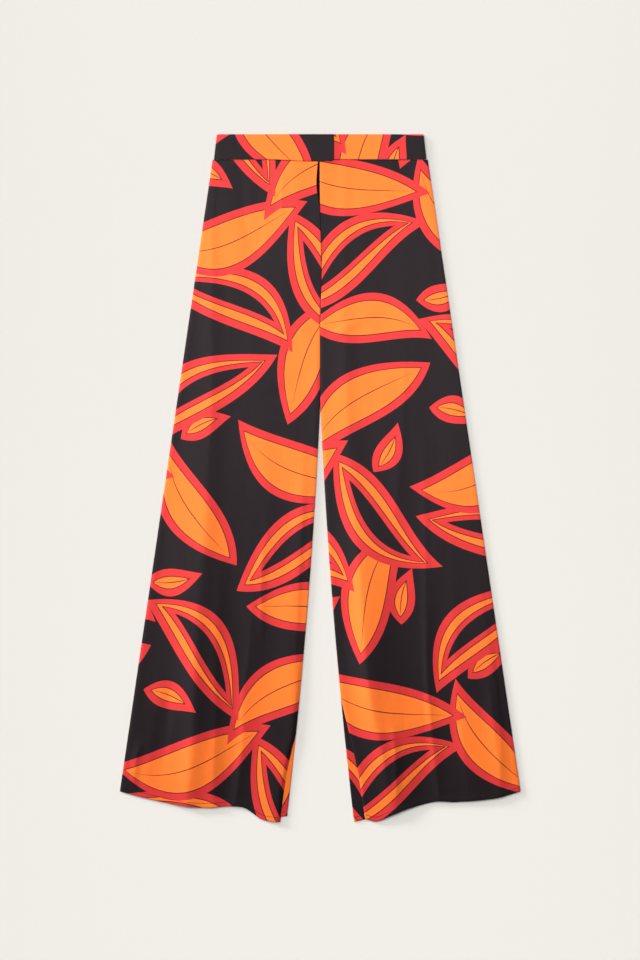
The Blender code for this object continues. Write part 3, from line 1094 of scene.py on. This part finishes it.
@dataclass
class Leg(ABC):
    """One leg panel: its cut, its grain and how its wall is made. Its two kinds say how it lies."""

    layer: ClassVar[str]
    hems: ClassVar[Hems]

    side: Side
    grain: Grain
    cut: Tuple[float, float] = (0.322, 1.062)
    cut_area: float = 0.244
    columns: int = 150
    rows: int = 220
    crowding: Tuple[int, float] = (7, 0.14)
    cloth: float = 0.00055
    hem_turn: float = 0.0085
    hem_cloth: float = 0.00100
    hem_step: float = 0.0012
    hem_lip: float = 0.00004
    groove: float = 0.00022
    groove_reach: float = 0.0009
    edge_round: float = 0.0006
    edge_share: float = 0.35
    stitch_in: float = 0.0015
    stitch_lift: float = 0.00018
    stitch_margin: float = 0.004
    stitch_points: int = 500

    @property
    def node(self) -> str:
        """The name of the node that the leg stands for."""
        return f"{self.layer}_{self.side.word}"

    @abstractmethod
    def surface(self, across: Array, drop: Array) -> Tuple[Array, Array, Array]:
        """How the leg lies at places across it and down it.

        Args:
            across: Places from the side seam to the inner edge.
            drop: Drops.

        Returns:
            The distance from the centre line, the height of the cloth's middle, and half its thickness.
        """

    def hem(self, across: Array) -> Array:
        """The hem's drop across the leg."""
        return read_edge(self.hems[self.side], across)

    def top(self, across: Array) -> Array:
        """The drop of the leg's upper edge, just below the waistband."""
        return BAND_DEPTH + GAP + np.zeros_like(across)

    def half_wall(self, from_hem: Array, from_side: Array, from_inner: Array) -> Array:
        """Half the wall's thickness: more in the turned-up hem, less in its stitches' groove and at edges.

        Args:
            from_hem: Distances from the hem.
            from_side: Distances from the side seam.
            from_inner: Distances from the inner edge.

        Returns:
            The half thickness at each place.
        """
        turned = smooth((self.hem_turn - from_hem) / self.hem_step + 0.5)
        groove = np.exp(-(((from_hem - self.hem_turn + self.stitch_in) / self.groove_reach) ** 2))
        half = 0.5 * (self.cloth + (self.hem_cloth - self.cloth) * turned) - self.groove * groove
        half = half * quarter_round(from_hem + self.hem_lip, self.edge_round)
        for from_edge in (from_side, from_inner):
            half = half * thinning(from_edge, self.edge_round, self.edge_share)
        return half

    def lay(self, across: Array, down: Array) -> Laid:
        """The rule that lays the leg's wall.

        Args:
            across: Places across an even grid.
            down: Places down it.

        Returns:
            Where they lie.
        """
        across = crowded(across, self.columns, *self.crowding)
        down = crowded(down, self.rows, *self.crowding)
        top = self.top(across)
        drop = top + down * (self.hem(across) - top)
        x, middle, half = self.surface(across, drop)
        return Laid(self.side.value * x, HALF_LENGTH - drop, np.maximum(middle - half, 0.0), middle + half)

    def stitch_line(self, upper: bool) -> Array:
        """Points along the hem's stitches.

        Args:
            upper: On the leg's upper face, or on its lower one.

        Returns:
            The points, from the side seam inwards.
        """
        across = np.linspace(self.stitch_margin, 1.0 - self.stitch_margin, self.stitch_points)
        drop = self.hem(across) - self.hem_turn + self.stitch_in
        x, middle, half = self.surface(across, drop)
        height = middle + half + self.stitch_lift if upper else np.maximum(middle - half, 0.0)
        return np.stack([self.side.value * x, HALF_LENGTH - drop, height], axis=1)

    def build(self, finishes: Finishes, rests_on: Sequence[object]) -> List[Piece]:
        """Args:
            finishes: The pair's finishes.
            rests_on: What the leg lies on; not used.

        Returns:
            The leg's piece, then its stitches.
        """
        wall = cloth_wall(self.columns, self.rows, self.lay)
        piece = finish_mesh(f"{self.node}_satin", wall, finishes.legs)
        map_cloth(piece, self.grain)
        stitches = HemStitches(self).build(finishes)
        declare(piece, self.node)
        declare(stitches)
        return [piece, stitches]


@dataclass
class FrontLeg(Leg):
    """A front leg. The right one laps over the left one at the fly."""

    layer: ClassVar[str] = "front"
    hems: ClassVar[Hems] = FRONT_HEMS

    seat: float = 0.00082
    folds_start_in: float = 0.014
    folds_end_in: float = 0.005
    deepest: float = 0.0006
    side_roll: float = 0.006
    parts_above: float = 0.020
    parts_over: float = 0.060
    seam_roll: float = 0.0028
    seam_dip: float = 0.0009
    dip_at_fly: float = 0.0003
    dip_grows_from: float = 0.235
    dip_grows_over: float = 0.060
    sewn_from: float = 0.105
    sewn_over: float = 0.020
    waist_dip: float = 0.0010
    waist_roll: float = 0.0024

    def top(self, across: Array) -> Array:
        """The drop of the leg's upper edge, which sags below the tab on the right leg."""
        sag = seam_droop((across - 1.0) * SIDE_AT_WAIST) if self.side is Side.RIGHT else 0.0
        return super().top(across) + sag

    def inner(self, drop: Array) -> Array:
        """The front's inner edge: the centre front, then the inseam.

        Args:
            drop: Drops.

        Returns:
            Its distance from the centre line.
        """
        sway = self.side.value * read_edge(CENTRE_SWAY, drop)
        if self.side is Side.RIGHT:
            sway = sway + read_edge(LAP_STAND_OFF, drop)
        inset = read_edge(INSEAM_INSETS[self.side], drop)
        return inner_edge(drop) + np.where(drop < PARTING_DROP, sway, inset)

    def long_folds(self, across: Array, drop: Array, width: Array) -> Array:
        """Height of the long folds together.

        Args:
            across: Places across the leg.
            drop: Drops.
            width: The leg's width at each drop.

        Returns:
            The height at each place.
        """
        total = np.zeros_like(drop)
        for rows in LONG_FOLDS[self.side]:
            drops = [row.drop for row in rows]
            rise = soft_curve(drops, [row.rise for row in rows], drop)
            crest = soft_curve(drops, [row.across for row in rows], drop)
            outer = soft_curve(drops, [row.outer_reach for row in rows], drop)
            inner = soft_curve(drops, [row.inner_reach for row in rows], drop)
            offset = (across - crest) * width
            total += np.maximum(rise, 0.0) * fold_section(offset / np.where(offset < 0, outer, inner))
        return total

    def unevenness(self, x: Array, drop: Array) -> Array:
        """Slight waves that keep the cloth from lying dead flat.

        Args:
            x: Distances from the centre line.
            drop: Drops.

        Returns:
            Their height.
        """
        sign = self.side.value
        phases = ((wave, wave.across * x + sign * wave.along * drop + wave.phase + sign) for wave in WAVES)
        return sum(wave.rise * np.sin(phase) for wave, phase in phases)

    def fly_rise(self, x: Array, drop: Array) -> Array:
        """How far the underlap and the zip lift the leg over them.

        Args:
            x: Distances from the centre line.
            drop: Drops.

        Returns:
            The lift.
        """
        fade = 1.0 - smooth((drop - FLY_END_DROP) / FLY_FADE)
        if self.side is Side.RIGHT:
            return LAP_RISE * fade * smooth((LAP_SPREAD - x) / (LAP_SPREAD + UNDERLAP_FROM))
        return FLAT_EDGE_RISE * fade * smooth((FLAT_EDGE_SPREAD - x) / (FLAT_EDGE_SPREAD - UNDERLAP_TO))

    def surface(self, across: Array, drop: Array) -> Tuple[Array, Array, Array]:
        """How the leg lies at places across it and down it."""
        inner = self.inner(drop)
        width = side_edge(drop) - inner
        x = inner + (1.0 - across) * width
        from_side, from_inner = across * width, (1.0 - across) * width
        height = self.long_folds(across, drop, width) + self.unevenness(x, drop)
        height = height + sum(crease_height(crease, x, drop) for crease in FRONT_CREASES[self.side])
        height = height * smooth(from_side / self.folds_start_in)
        height = np.where(height < 0.0, self.deepest * np.tanh(height / self.deepest), height)
        parted = smooth((drop - CROTCH_DROP + self.parts_above) / self.parts_over)
        height = height * (1.0 - parted * (1.0 - smooth(from_inner / self.folds_end_in)))
        middle = FRONT_MIDDLE + height + self.fly_rise(x, drop)
        middle = self.seat + (middle - self.seat) * quarter_round(from_side, self.side_roll)
        landed = self.seat + (middle - self.seat) * quarter_round(from_inner, self.side_roll)
        middle = middle + parted * (landed - middle)
        sewn = smooth((drop - self.sewn_from) / self.sewn_over) if self.side is Side.RIGHT else 1.0
        grown = smooth((drop - self.dip_grows_from) / self.dip_grows_over)
        dip = self.dip_at_fly + (self.seam_dip - self.dip_at_fly) * grown
        middle = middle - dip * sewn * (1.0 - parted) * (1.0 - quarter_round(from_inner, self.seam_roll))
        middle = middle - self.waist_dip * (1.0 - quarter_round(drop - self.top(across), self.waist_roll))
        return x, middle, self.half_wall(self.hem(across) - drop, from_side, from_inner)


@dataclass
class BackLeg(Leg):
    """A back leg, flat on the floor."""

    layer: ClassVar[str] = "back"
    hems: ClassVar[Hems] = BACK_HEMS

    columns: int = 56
    rows: int = 180
    lift_off: float = 0.00012
    creases_start_in: float = 0.012
    strip_grows_over: float = 0.008
    strip_beyond: float = 0.012
    strip_fade: float = 0.010
    strip_rise: float = 0.00035
    strip_roll: float = 0.0020

    def surface(self, across: Array, drop: Array) -> Tuple[Array, Array, Array]:
        """How the leg lies at places across it and down it."""
        inner = inner_edge(drop)
        width = side_edge(drop) - inner
        x = inner + (1.0 - across) * width
        from_side, from_inner = across * width, (1.0 - across) * width
        lift = sum(crease_height(crease, x, drop) for crease in BACK_CREASES[self.side])
        lift = lift * smooth(from_side / self.creases_start_in) * smooth(from_inner / self.creases_start_in)
        inset = read_edge(INSEAM_INSETS[self.side], drop)
        strip = smooth(inset / self.strip_grows_over)
        strip = strip * smooth((inset + self.strip_beyond - from_inner) / self.strip_fade)
        middle = 0.5 * self.cloth + self.lift_off + lift
        middle = middle + self.strip_rise * strip * quarter_round(from_inner, self.strip_roll)
        return x, middle, self.half_wall(self.hem(across) - drop, from_side, from_inner)


@dataclass
class HemStitches:
    """The row of stitches that holds a hem's turned cloth, on both faces of the leg."""

    leg: Leg
    pitch: float = 0.0031
    stitch: float = 0.0029
    thread: float = 0.00105
    flatness: float = 0.6

    def add_row(self, row: Shape, line: Array) -> None:
        """Adds the stitches of one face.

        Args:
            row: The bmesh they go into.
            line: Points along the stitch line.
        """
        steps = np.linalg.norm(np.diff(line[:, :2], axis=0), axis=1)
        along = np.concatenate([[0.0], np.cumsum(steps)])
        for index in range(int(along[-1] / self.pitch)):
            middle = (index + 0.5) * self.pitch
            start, end = (
                Vector([np.interp(middle + half, along, line[:, axis]) for axis in range(3)])
                for half in (-self.stitch / 2, self.stitch / 2)
            )
            turn = (end - start).to_track_quat("X", "Z").to_matrix()
            size = (self.stitch, self.thread, self.thread * self.flatness)
            add_bead(row, (start + end) / 2, size, turn)

    def build(self, finishes: Finishes) -> Piece:
        """Builds both rows as one piece."""
        row = bmesh.new()
        for upper in (True, False):
            self.add_row(row, self.leg.stitch_line(upper))
        return finish_mesh(f"{self.leg.node}_hem_stitches", row, finishes.hem_thread)


# ---------------- waistband


class BandPart(Enum):
    """The waistband's three pieces."""

    BACK = "back"
    FRONT_LEFT = "front_left"
    FRONT_RIGHT = "front_right"


@dataclass(frozen=True)
class BandCut:
    """How one piece of the waistband is cut and laid on the cloth."""

    part: BandPart
    columns: int
    cut: Tuple[float, float]
    grain: Grain


BAND_CUTS = (
    BandCut(BandPart.BACK, 150, (0.340, 0.040), Grain(offset=(0.16, 0.21))),
    BandCut(BandPart.FRONT_LEFT, 100, (0.174, 0.040), Grain(offset=(0.00, 0.72))),
    BandCut(BandPart.FRONT_RIGHT, 110, (0.192, 0.043), Grain(offset=(0.325, 0.42))),
)


@dataclass
class Waistband:
    """The waistband: a back piece and two front halves, the right one with the overlap tab."""

    cloth: float = 0.0012
    layer_step: float = 0.0016
    corner: float = 0.0030
    tab_end: float = 0.0219
    tab_corner: float = 0.0050
    tab_from: float = -0.105
    tab_to: float = -0.010
    under_tab_end: float = -0.0035
    edge_round: float = 0.0011
    edge_share: float = 0.15
    side_dip: float = 0.0005
    side_roll: float = 0.008
    ripple: float = 0.0001
    ripple_rate: float = 61.0
    rows: int = 26
    end_crowding: Tuple[int, float] = (8, 0.10)
    edge_crowding: Tuple[int, float] = (5, 0.12)

    def ends(self, part: BandPart, drop: Array) -> Tuple[Array, Array]:
        """The two ends of a piece.

        Args:
            part: The piece.
            drop: Drops.

        Returns:
            The X of its one end and of its other end.
        """
        half = BAND_HALF_TOP + drop / BAND_DEPTH * (BAND_HALF_BOTTOM - BAND_HALF_TOP)
        low = self.under_tab_end if part is BandPart.FRONT_LEFT else -half
        high = self.tab_end if part is BandPart.FRONT_RIGHT else half
        return low + 0.0 * half, high + 0.0 * half

    def edges(self, part: BandPart, x: Array, low: Array, high: Array) -> Tuple[Array, Array]:
        """The upper and the lower edge of a piece, with its corners rounded.

        Args:
            part: The piece.
            x: Where they are read.
            low: The X of its one end.
            high: The X of its other end.

        Returns:
            The drops of the two edges.
        """
        top = np.zeros_like(x)
        bottom = BAND_DEPTH + np.zeros_like(x)
        if part is not BandPart.FRONT_LEFT:
            top = top + self.corner * (1.0 - quarter_round(x - low, self.corner))
        if part is not BandPart.FRONT_RIGHT:
            top = top + self.corner * (1.0 - quarter_round(high - x, self.corner))
        if part is BandPart.FRONT_RIGHT:
            bottom = bottom + seam_droop(x)
            bottom = bottom - self.tab_corner * (1.0 - quarter_round(high - x, self.tab_corner))
        return top, bottom

    def middle(self, part: BandPart, x: Array, drop: Array) -> Array:
        """The height of a piece's middle: the halves lie on the back, and the tab on the left half.

        Args:
            part: The piece.
            x: Where it is read.
            drop: The drops there.

        Returns:
            The height.
        """
        ripple = np.sin(self.ripple_rate * x + 1.0) * np.sin(math.pi * drop / BAND_DEPTH) ** 2
        middle = 0.5 * self.cloth + self.ripple * ripple
        if part is BandPart.BACK:
            return np.maximum(middle, 0.5 * self.cloth)
        middle = middle + self.layer_step
        middle = middle - self.side_dip * (1.0 - quarter_round(BAND_HALF_TOP - np.abs(x), self.side_roll))
        if part is BandPart.FRONT_RIGHT:
            middle = middle + self.layer_step * smooth((x - self.tab_from) / (self.tab_to - self.tab_from))
        return middle

    def rule(self, cut: BandCut) -> Callable[[Array, Array], Laid]:
        """The rule that lays one piece.

        Args:
            cut: The piece's cut.

        Returns:
            The rule, from (across, down) to places.
        """

        def lay(across: Array, down: Array) -> Laid:
            """Lays a grid as the piece."""
            across = crowded(across, cut.columns, *self.end_crowding)
            down = crowded(down, self.rows, *self.edge_crowding)
            low, high = self.ends(cut.part, down * BAND_DEPTH)
            x = low + across * (high - low)
            top, bottom = self.edges(cut.part, x, low, high)
            drop = top + down * (bottom - top)
            from_end = quarter_round(np.minimum(x - low, high - x), self.edge_round)
            from_edge = quarter_round(np.minimum(drop - top, bottom - drop), self.edge_round)
            middle = self.middle(cut.part, x, drop)
            half = 0.5 * self.cloth * (self.edge_share + (1.0 - self.edge_share) * from_end * from_edge)
            return Laid(x, HALF_LENGTH - drop, middle - half, middle + half)

        return lay

    def build(self, finishes: Finishes) -> List[Piece]:
        """Args:
            finishes: The pair's finishes.

        Returns:
            The pieces.
        """
        made = []
        for cut in BAND_CUTS:
            node = f"waistband_{cut.part.value}"
            wall = cloth_wall(cut.columns, self.rows, self.rule(cut))
            piece = finish_mesh(f"{node}_satin", wall, finishes.band)
            map_cloth(piece, cut.grain)
            declare(piece, node)
            made.append(piece)
        return made


# ---------------- fly


@dataclass
class Fly:
    """What lies behind the fly opening: the underlap, the closed zip, and the tack that ends the fly."""

    strip_cells: Tuple[int, int] = (24, 80)
    edge_round: float = 0.0006
    edge_share: float = 0.3
    ripple: float = 0.00004
    ripple_rates: Tuple[float, float] = (900.0, 140.0)
    cloth: float = 0.0004
    underlap_height: float = 0.00155
    zip_centre: float = -0.0160
    zip_height: float = 0.00205
    tape_half: float = 0.0100
    tooth_pitch: float = 0.0014
    tooth_size: Point = (0.0036, 0.00126, 0.0008)
    tooth_shift: float = 0.0004
    tooth_rise: float = 0.0006
    first_tooth: float = 0.002
    slider_size: Point = (0.0072, 0.0110, 0.0009)
    slider_rise: float = 0.00060
    slider_down: float = 0.003
    slider_bevel: float = 0.00015
    pull_size: Point = (0.0030, 0.0088, 0.0004)
    pull_rise: float = 0.00110
    tack_place: Point = (0.0021, 0.3502, 0.0036)
    tack_stitch: Point = (0.0024, 0.00070, 0.0005)
    tack_stitches: int = 9
    tack_length: float = 0.0065
    tack_lean: float = 27.0

    @property
    def top(self) -> float:
        """The drop at which the underlap and the zip start."""
        return BAND_DEPTH + TAB_DROOP + 2 * GAP

    def strip(self, low: float, high: float, bottom: float, height: float) -> Shape:
        """A strip of cloth along the fly, with rounded edges.

        Args:
            low: X of its one side.
            high: X of its other side.
            bottom: Drop of its lower end.
            height: Height of its middle.

        Returns:
            Its bmesh.
        """

        def lay(across: Array, down: Array) -> Laid:
            """Lays a grid as the strip."""
            x = low + across * (high - low)
            drop = self.top + down * (bottom - self.top)
            from_edge = np.minimum(np.minimum(x - low, high - x), np.minimum(drop - self.top, bottom - drop))
            half = 0.5 * self.cloth * thinning(from_edge, self.edge_round, self.edge_share)
            ripple = np.sin(x * self.ripple_rates[0]) * np.sin(drop * self.ripple_rates[1])
            middle = height + self.ripple * ripple
            return Laid(x, HALF_LENGTH - drop, middle - half, middle + half)

        return cloth_wall(*self.strip_cells, lay)

    def beads(self, places: Sequence[Point], size: Point, lean: float = 0.0) -> Shape:
        """Small rounded bodies, as zip teeth and bar stitches are.

        Args:
            places: Their middles.
            size: Their size along X, Y and Z.
            lean: Their turn about Y, in degrees.

        Returns:
            Their bmesh.
        """
        row = bmesh.new()
        turn = Matrix.Rotation(math.radians(lean), 3, "Y")
        for place in places:
            add_bead(row, place, size, turn)
        return row

    def chain(self) -> Shape:
        """The closed chain: teeth of the two tapes in turn."""
        start = HALF_LENGTH - self.top - self.first_tooth
        height = self.zip_height + self.tooth_rise
        count = int((FLY_END_DROP - self.top - 2 * self.first_tooth) / self.tooth_pitch)
        places = [
            (self.zip_centre + self.tooth_shift * (-1) ** index, start - index * self.tooth_pitch, height)
            for index in range(count)
        ]
        return self.beads(places, self.tooth_size)

    def slider(self) -> Shape:
        """The slider's body with its flat pull, at the top of the zip."""
        body = bmesh.new()
        middle = HALF_LENGTH - self.top - self.slider_down - self.slider_size[1] / 2
        for size, rise in ((self.slider_size, self.slider_rise), (self.pull_size, self.pull_rise)):
            block = bmesh.ops.create_cube(body, size=1.0)["verts"]
            bmesh.ops.scale(body, vec=size, verts=block)
            bmesh.ops.translate(body, vec=(self.zip_centre, middle, self.zip_height + rise), verts=block)
        edges = body.edges[:]
        bmesh.ops.bevel(
            body, geom=edges, offset=self.slider_bevel, segments=2, profile=0.5, affect="EDGES", material=-1
        )
        return body

    def tack(self) -> Shape:
        """The bar tack that closes the fly's end: a close row of short stitches."""
        x, y, z = self.tack_place
        half = self.tack_length / 2
        places = [(x, at, z) for at in np.linspace(y - half, y + half, self.tack_stitches)]
        return self.beads(places, self.tack_stitch, self.tack_lean)

    def build(self, finishes: Finishes) -> List[Piece]:
        """Args:
            finishes: The pair's finishes.

        Returns:
            The pieces.
        """
        edges = (self.zip_centre - self.tape_half, self.zip_centre + self.tape_half)
        tape = self.strip(*edges, FLY_END_DROP - GAP, self.zip_height)
        underlap = self.strip(UNDERLAP_FROM, UNDERLAP_TO, FLY_END_DROP, self.underlap_height)
        # The underlap and the zip tape wear the underlap satin, a dark ground with painted shade for the slot
        shapes = (
            ("fly_underlap_satin", underlap, finishes.underlap, "underlap_satin", "fly_underlap"),
            ("zip_tape_woven", tape, finishes.underlap, "zip_tape", "zip"),
            ("zip_chain", self.chain(), finishes.dark_thread, "zip_tape", ""),
            ("zip_slider_body", self.slider(), finishes.zip_metal, "zip_tape", ""),
            ("fly_bar_tack", self.tack(), finishes.dark_thread, "leg_satin", ""),
        )
        made = []
        for name, shape, finish, slot, node in shapes:
            made.append(finish_mesh(name, shape, finish))
            declare(made[-1], node)
        underlap_piece, tape_piece, chain_piece, slider_piece = made[:4]
        for piece in (underlap_piece, tape_piece):
            map_cloth(piece, Grain(turn=90.0))
        length = FLY_END_DROP - self.top
        return made


# ---------------- studio


@dataclass(frozen=True)
class SoftBox:
    """A square studio light that faces the pants."""

    name: str
    place: Point
    aim: Point
    size: float
    power: float

    def build(self) -> None:
        """Hangs the light."""
        light = bpy.data.lights.new(self.name, "AREA")
        light.size = self.size
        light.energy = self.power
        hang_light(light, self.place, self.aim)


@dataclass(frozen=True)
class WideLight:
    """Even light from one side, as from a far, wide diffuser."""

    name: str
    bearing: float
    elevation: float
    spread: float
    strength: float

    def build(self) -> None:
        """Hangs the light."""
        light = bpy.data.lights.new(self.name, "SUN")
        light.angle = math.radians(self.spread)
        light.energy = self.strength
        bearing, elevation = math.radians(self.bearing), math.radians(self.elevation)
        level = math.cos(elevation)
        place = (level * math.cos(bearing), level * math.sin(bearing), math.sin(elevation))
        hang_light(light, place, (0.0, 0.0, 0.0))


def hang_light(light: bpy.types.Light, place: Point, aim: Point) -> None:
    """Puts a light in the scene.

    Args:
        light: The light.
        place: Where it hangs.
        aim: The point that it faces.
    """
    lamp = bpy.data.objects.new(light.name, light)
    lamp.location = place
    lamp.rotation_euler = (Vector(aim) - Vector(place)).to_track_quat("-Z", "Y").to_euler()
    bpy.context.scene.collection.objects.link(lamp)


@dataclass
class Studio:
    """The floor, the lights, the fill and the camera."""

    floor_half: float = 14.0
    floor_height: float = -0.0003
    fill: Colour = (0.06, 0.06, 0.06)
    frame_height: float = 1.536
    lens: float = 100.0
    sensor: float = 36.0
    aim: Tuple[float, float] = (-0.0003, -0.0028)
    lights: Tuple[object, ...] = (
        WideLight("side_diffuser", bearing=150.0, elevation=34.0, spread=90.0, strength=3.15),
        WideLight("low_side_light", bearing=150.0, elevation=8.0, spread=7.0, strength=4.5),
        SoftBox("right_overhead_softbox", (-0.6, 0.35, 1.1), (-0.6, 0.35, 0.0), 0.8, 7.2),
        SoftBox("left_overhead_softbox", (0.6, 0.35, 1.1), (0.6, 0.35, 0.0), 0.8, 7.2),
    )

    def lay_floor(self) -> None:
        """Lays the floor under the pants."""
        plane = bmesh.new()
        bmesh.ops.create_grid(plane, x_segments=1, y_segments=1, size=self.floor_half)
        bmesh.ops.translate(plane, vec=(0.0, 0.0, self.floor_height), verts=plane.verts[:])
        finish_mesh("floor", plane, FloorFinish().material())

    def fill_room(self) -> None:
        """Fills the room with a soft even light."""
        world = bpy.data.worlds.new("studio_fill")
        world.use_nodes = True
        background = world.node_tree.nodes["Background"]
        background.inputs["Color"].default_value = opaque(self.fill)
        background.inputs["Strength"].default_value = 1.0
        bpy.context.scene.world = world
        bpy.context.scene.view_settings.view_transform = "Standard"

    def set_camera(self) -> None:
        """Hangs the camera over the pants, looking straight down."""
        camera = bpy.data.cameras.new("camera")
        camera.lens = self.lens
        camera.sensor_width = self.sensor
        holder = bpy.data.objects.new("camera", camera)
        holder.location = (*self.aim, self.frame_height * self.lens / self.sensor)
        bpy.context.scene.collection.objects.link(holder)
        bpy.context.scene.camera = holder

    def build(self) -> None:
        """Builds the studio."""
        self.lay_floor()
        self.fill_room()
        self.set_camera()
        for light in self.lights:
            light.build()


# ---------------- the pair


@dataclass
class PalazzoPants:
    """The whole pair."""

    backs: Tuple[BackLeg, ...] = (
        BackLeg(Side.RIGHT, Grain(turn=4.0, offset=(0.096, 0.023))),
        BackLeg(Side.LEFT, Grain(turn=-4.0, offset=(0.27, 0.41))),
    )
    fronts: Tuple[FrontLeg, ...] = (
        FrontLeg(Side.RIGHT, Grain(turn=4.0, offset=(0.10, 0.20))),
        FrontLeg(Side.LEFT, Grain(turn=-4.0, offset=(0.00, 0.583))),
    )

    def build(self, finishes: Finishes) -> None:
        """Builds every sub-assembly, from the floor up, and reports its pieces."""
        made = []
        for back in self.backs:
            made += back.build(finishes, ["floor"])
        for back, front in zip(self.backs, self.fronts):
            made += front.build(finishes, [f"{back.node}_satin"])
        made += Waistband().build(finishes)
        made += Fly().build(finishes)
        for piece in made:
            log.info("%s: %d faces", piece.name, len(piece.data.polygons))


def main() -> None:
    """Builds the studio and the pair."""
    logging.basicConfig(level=logging.INFO, format="%(name)s: %(message)s")
    Studio().build()
    PalazzoPants().build(Finishes())


if __name__ == "__main__":
    main()
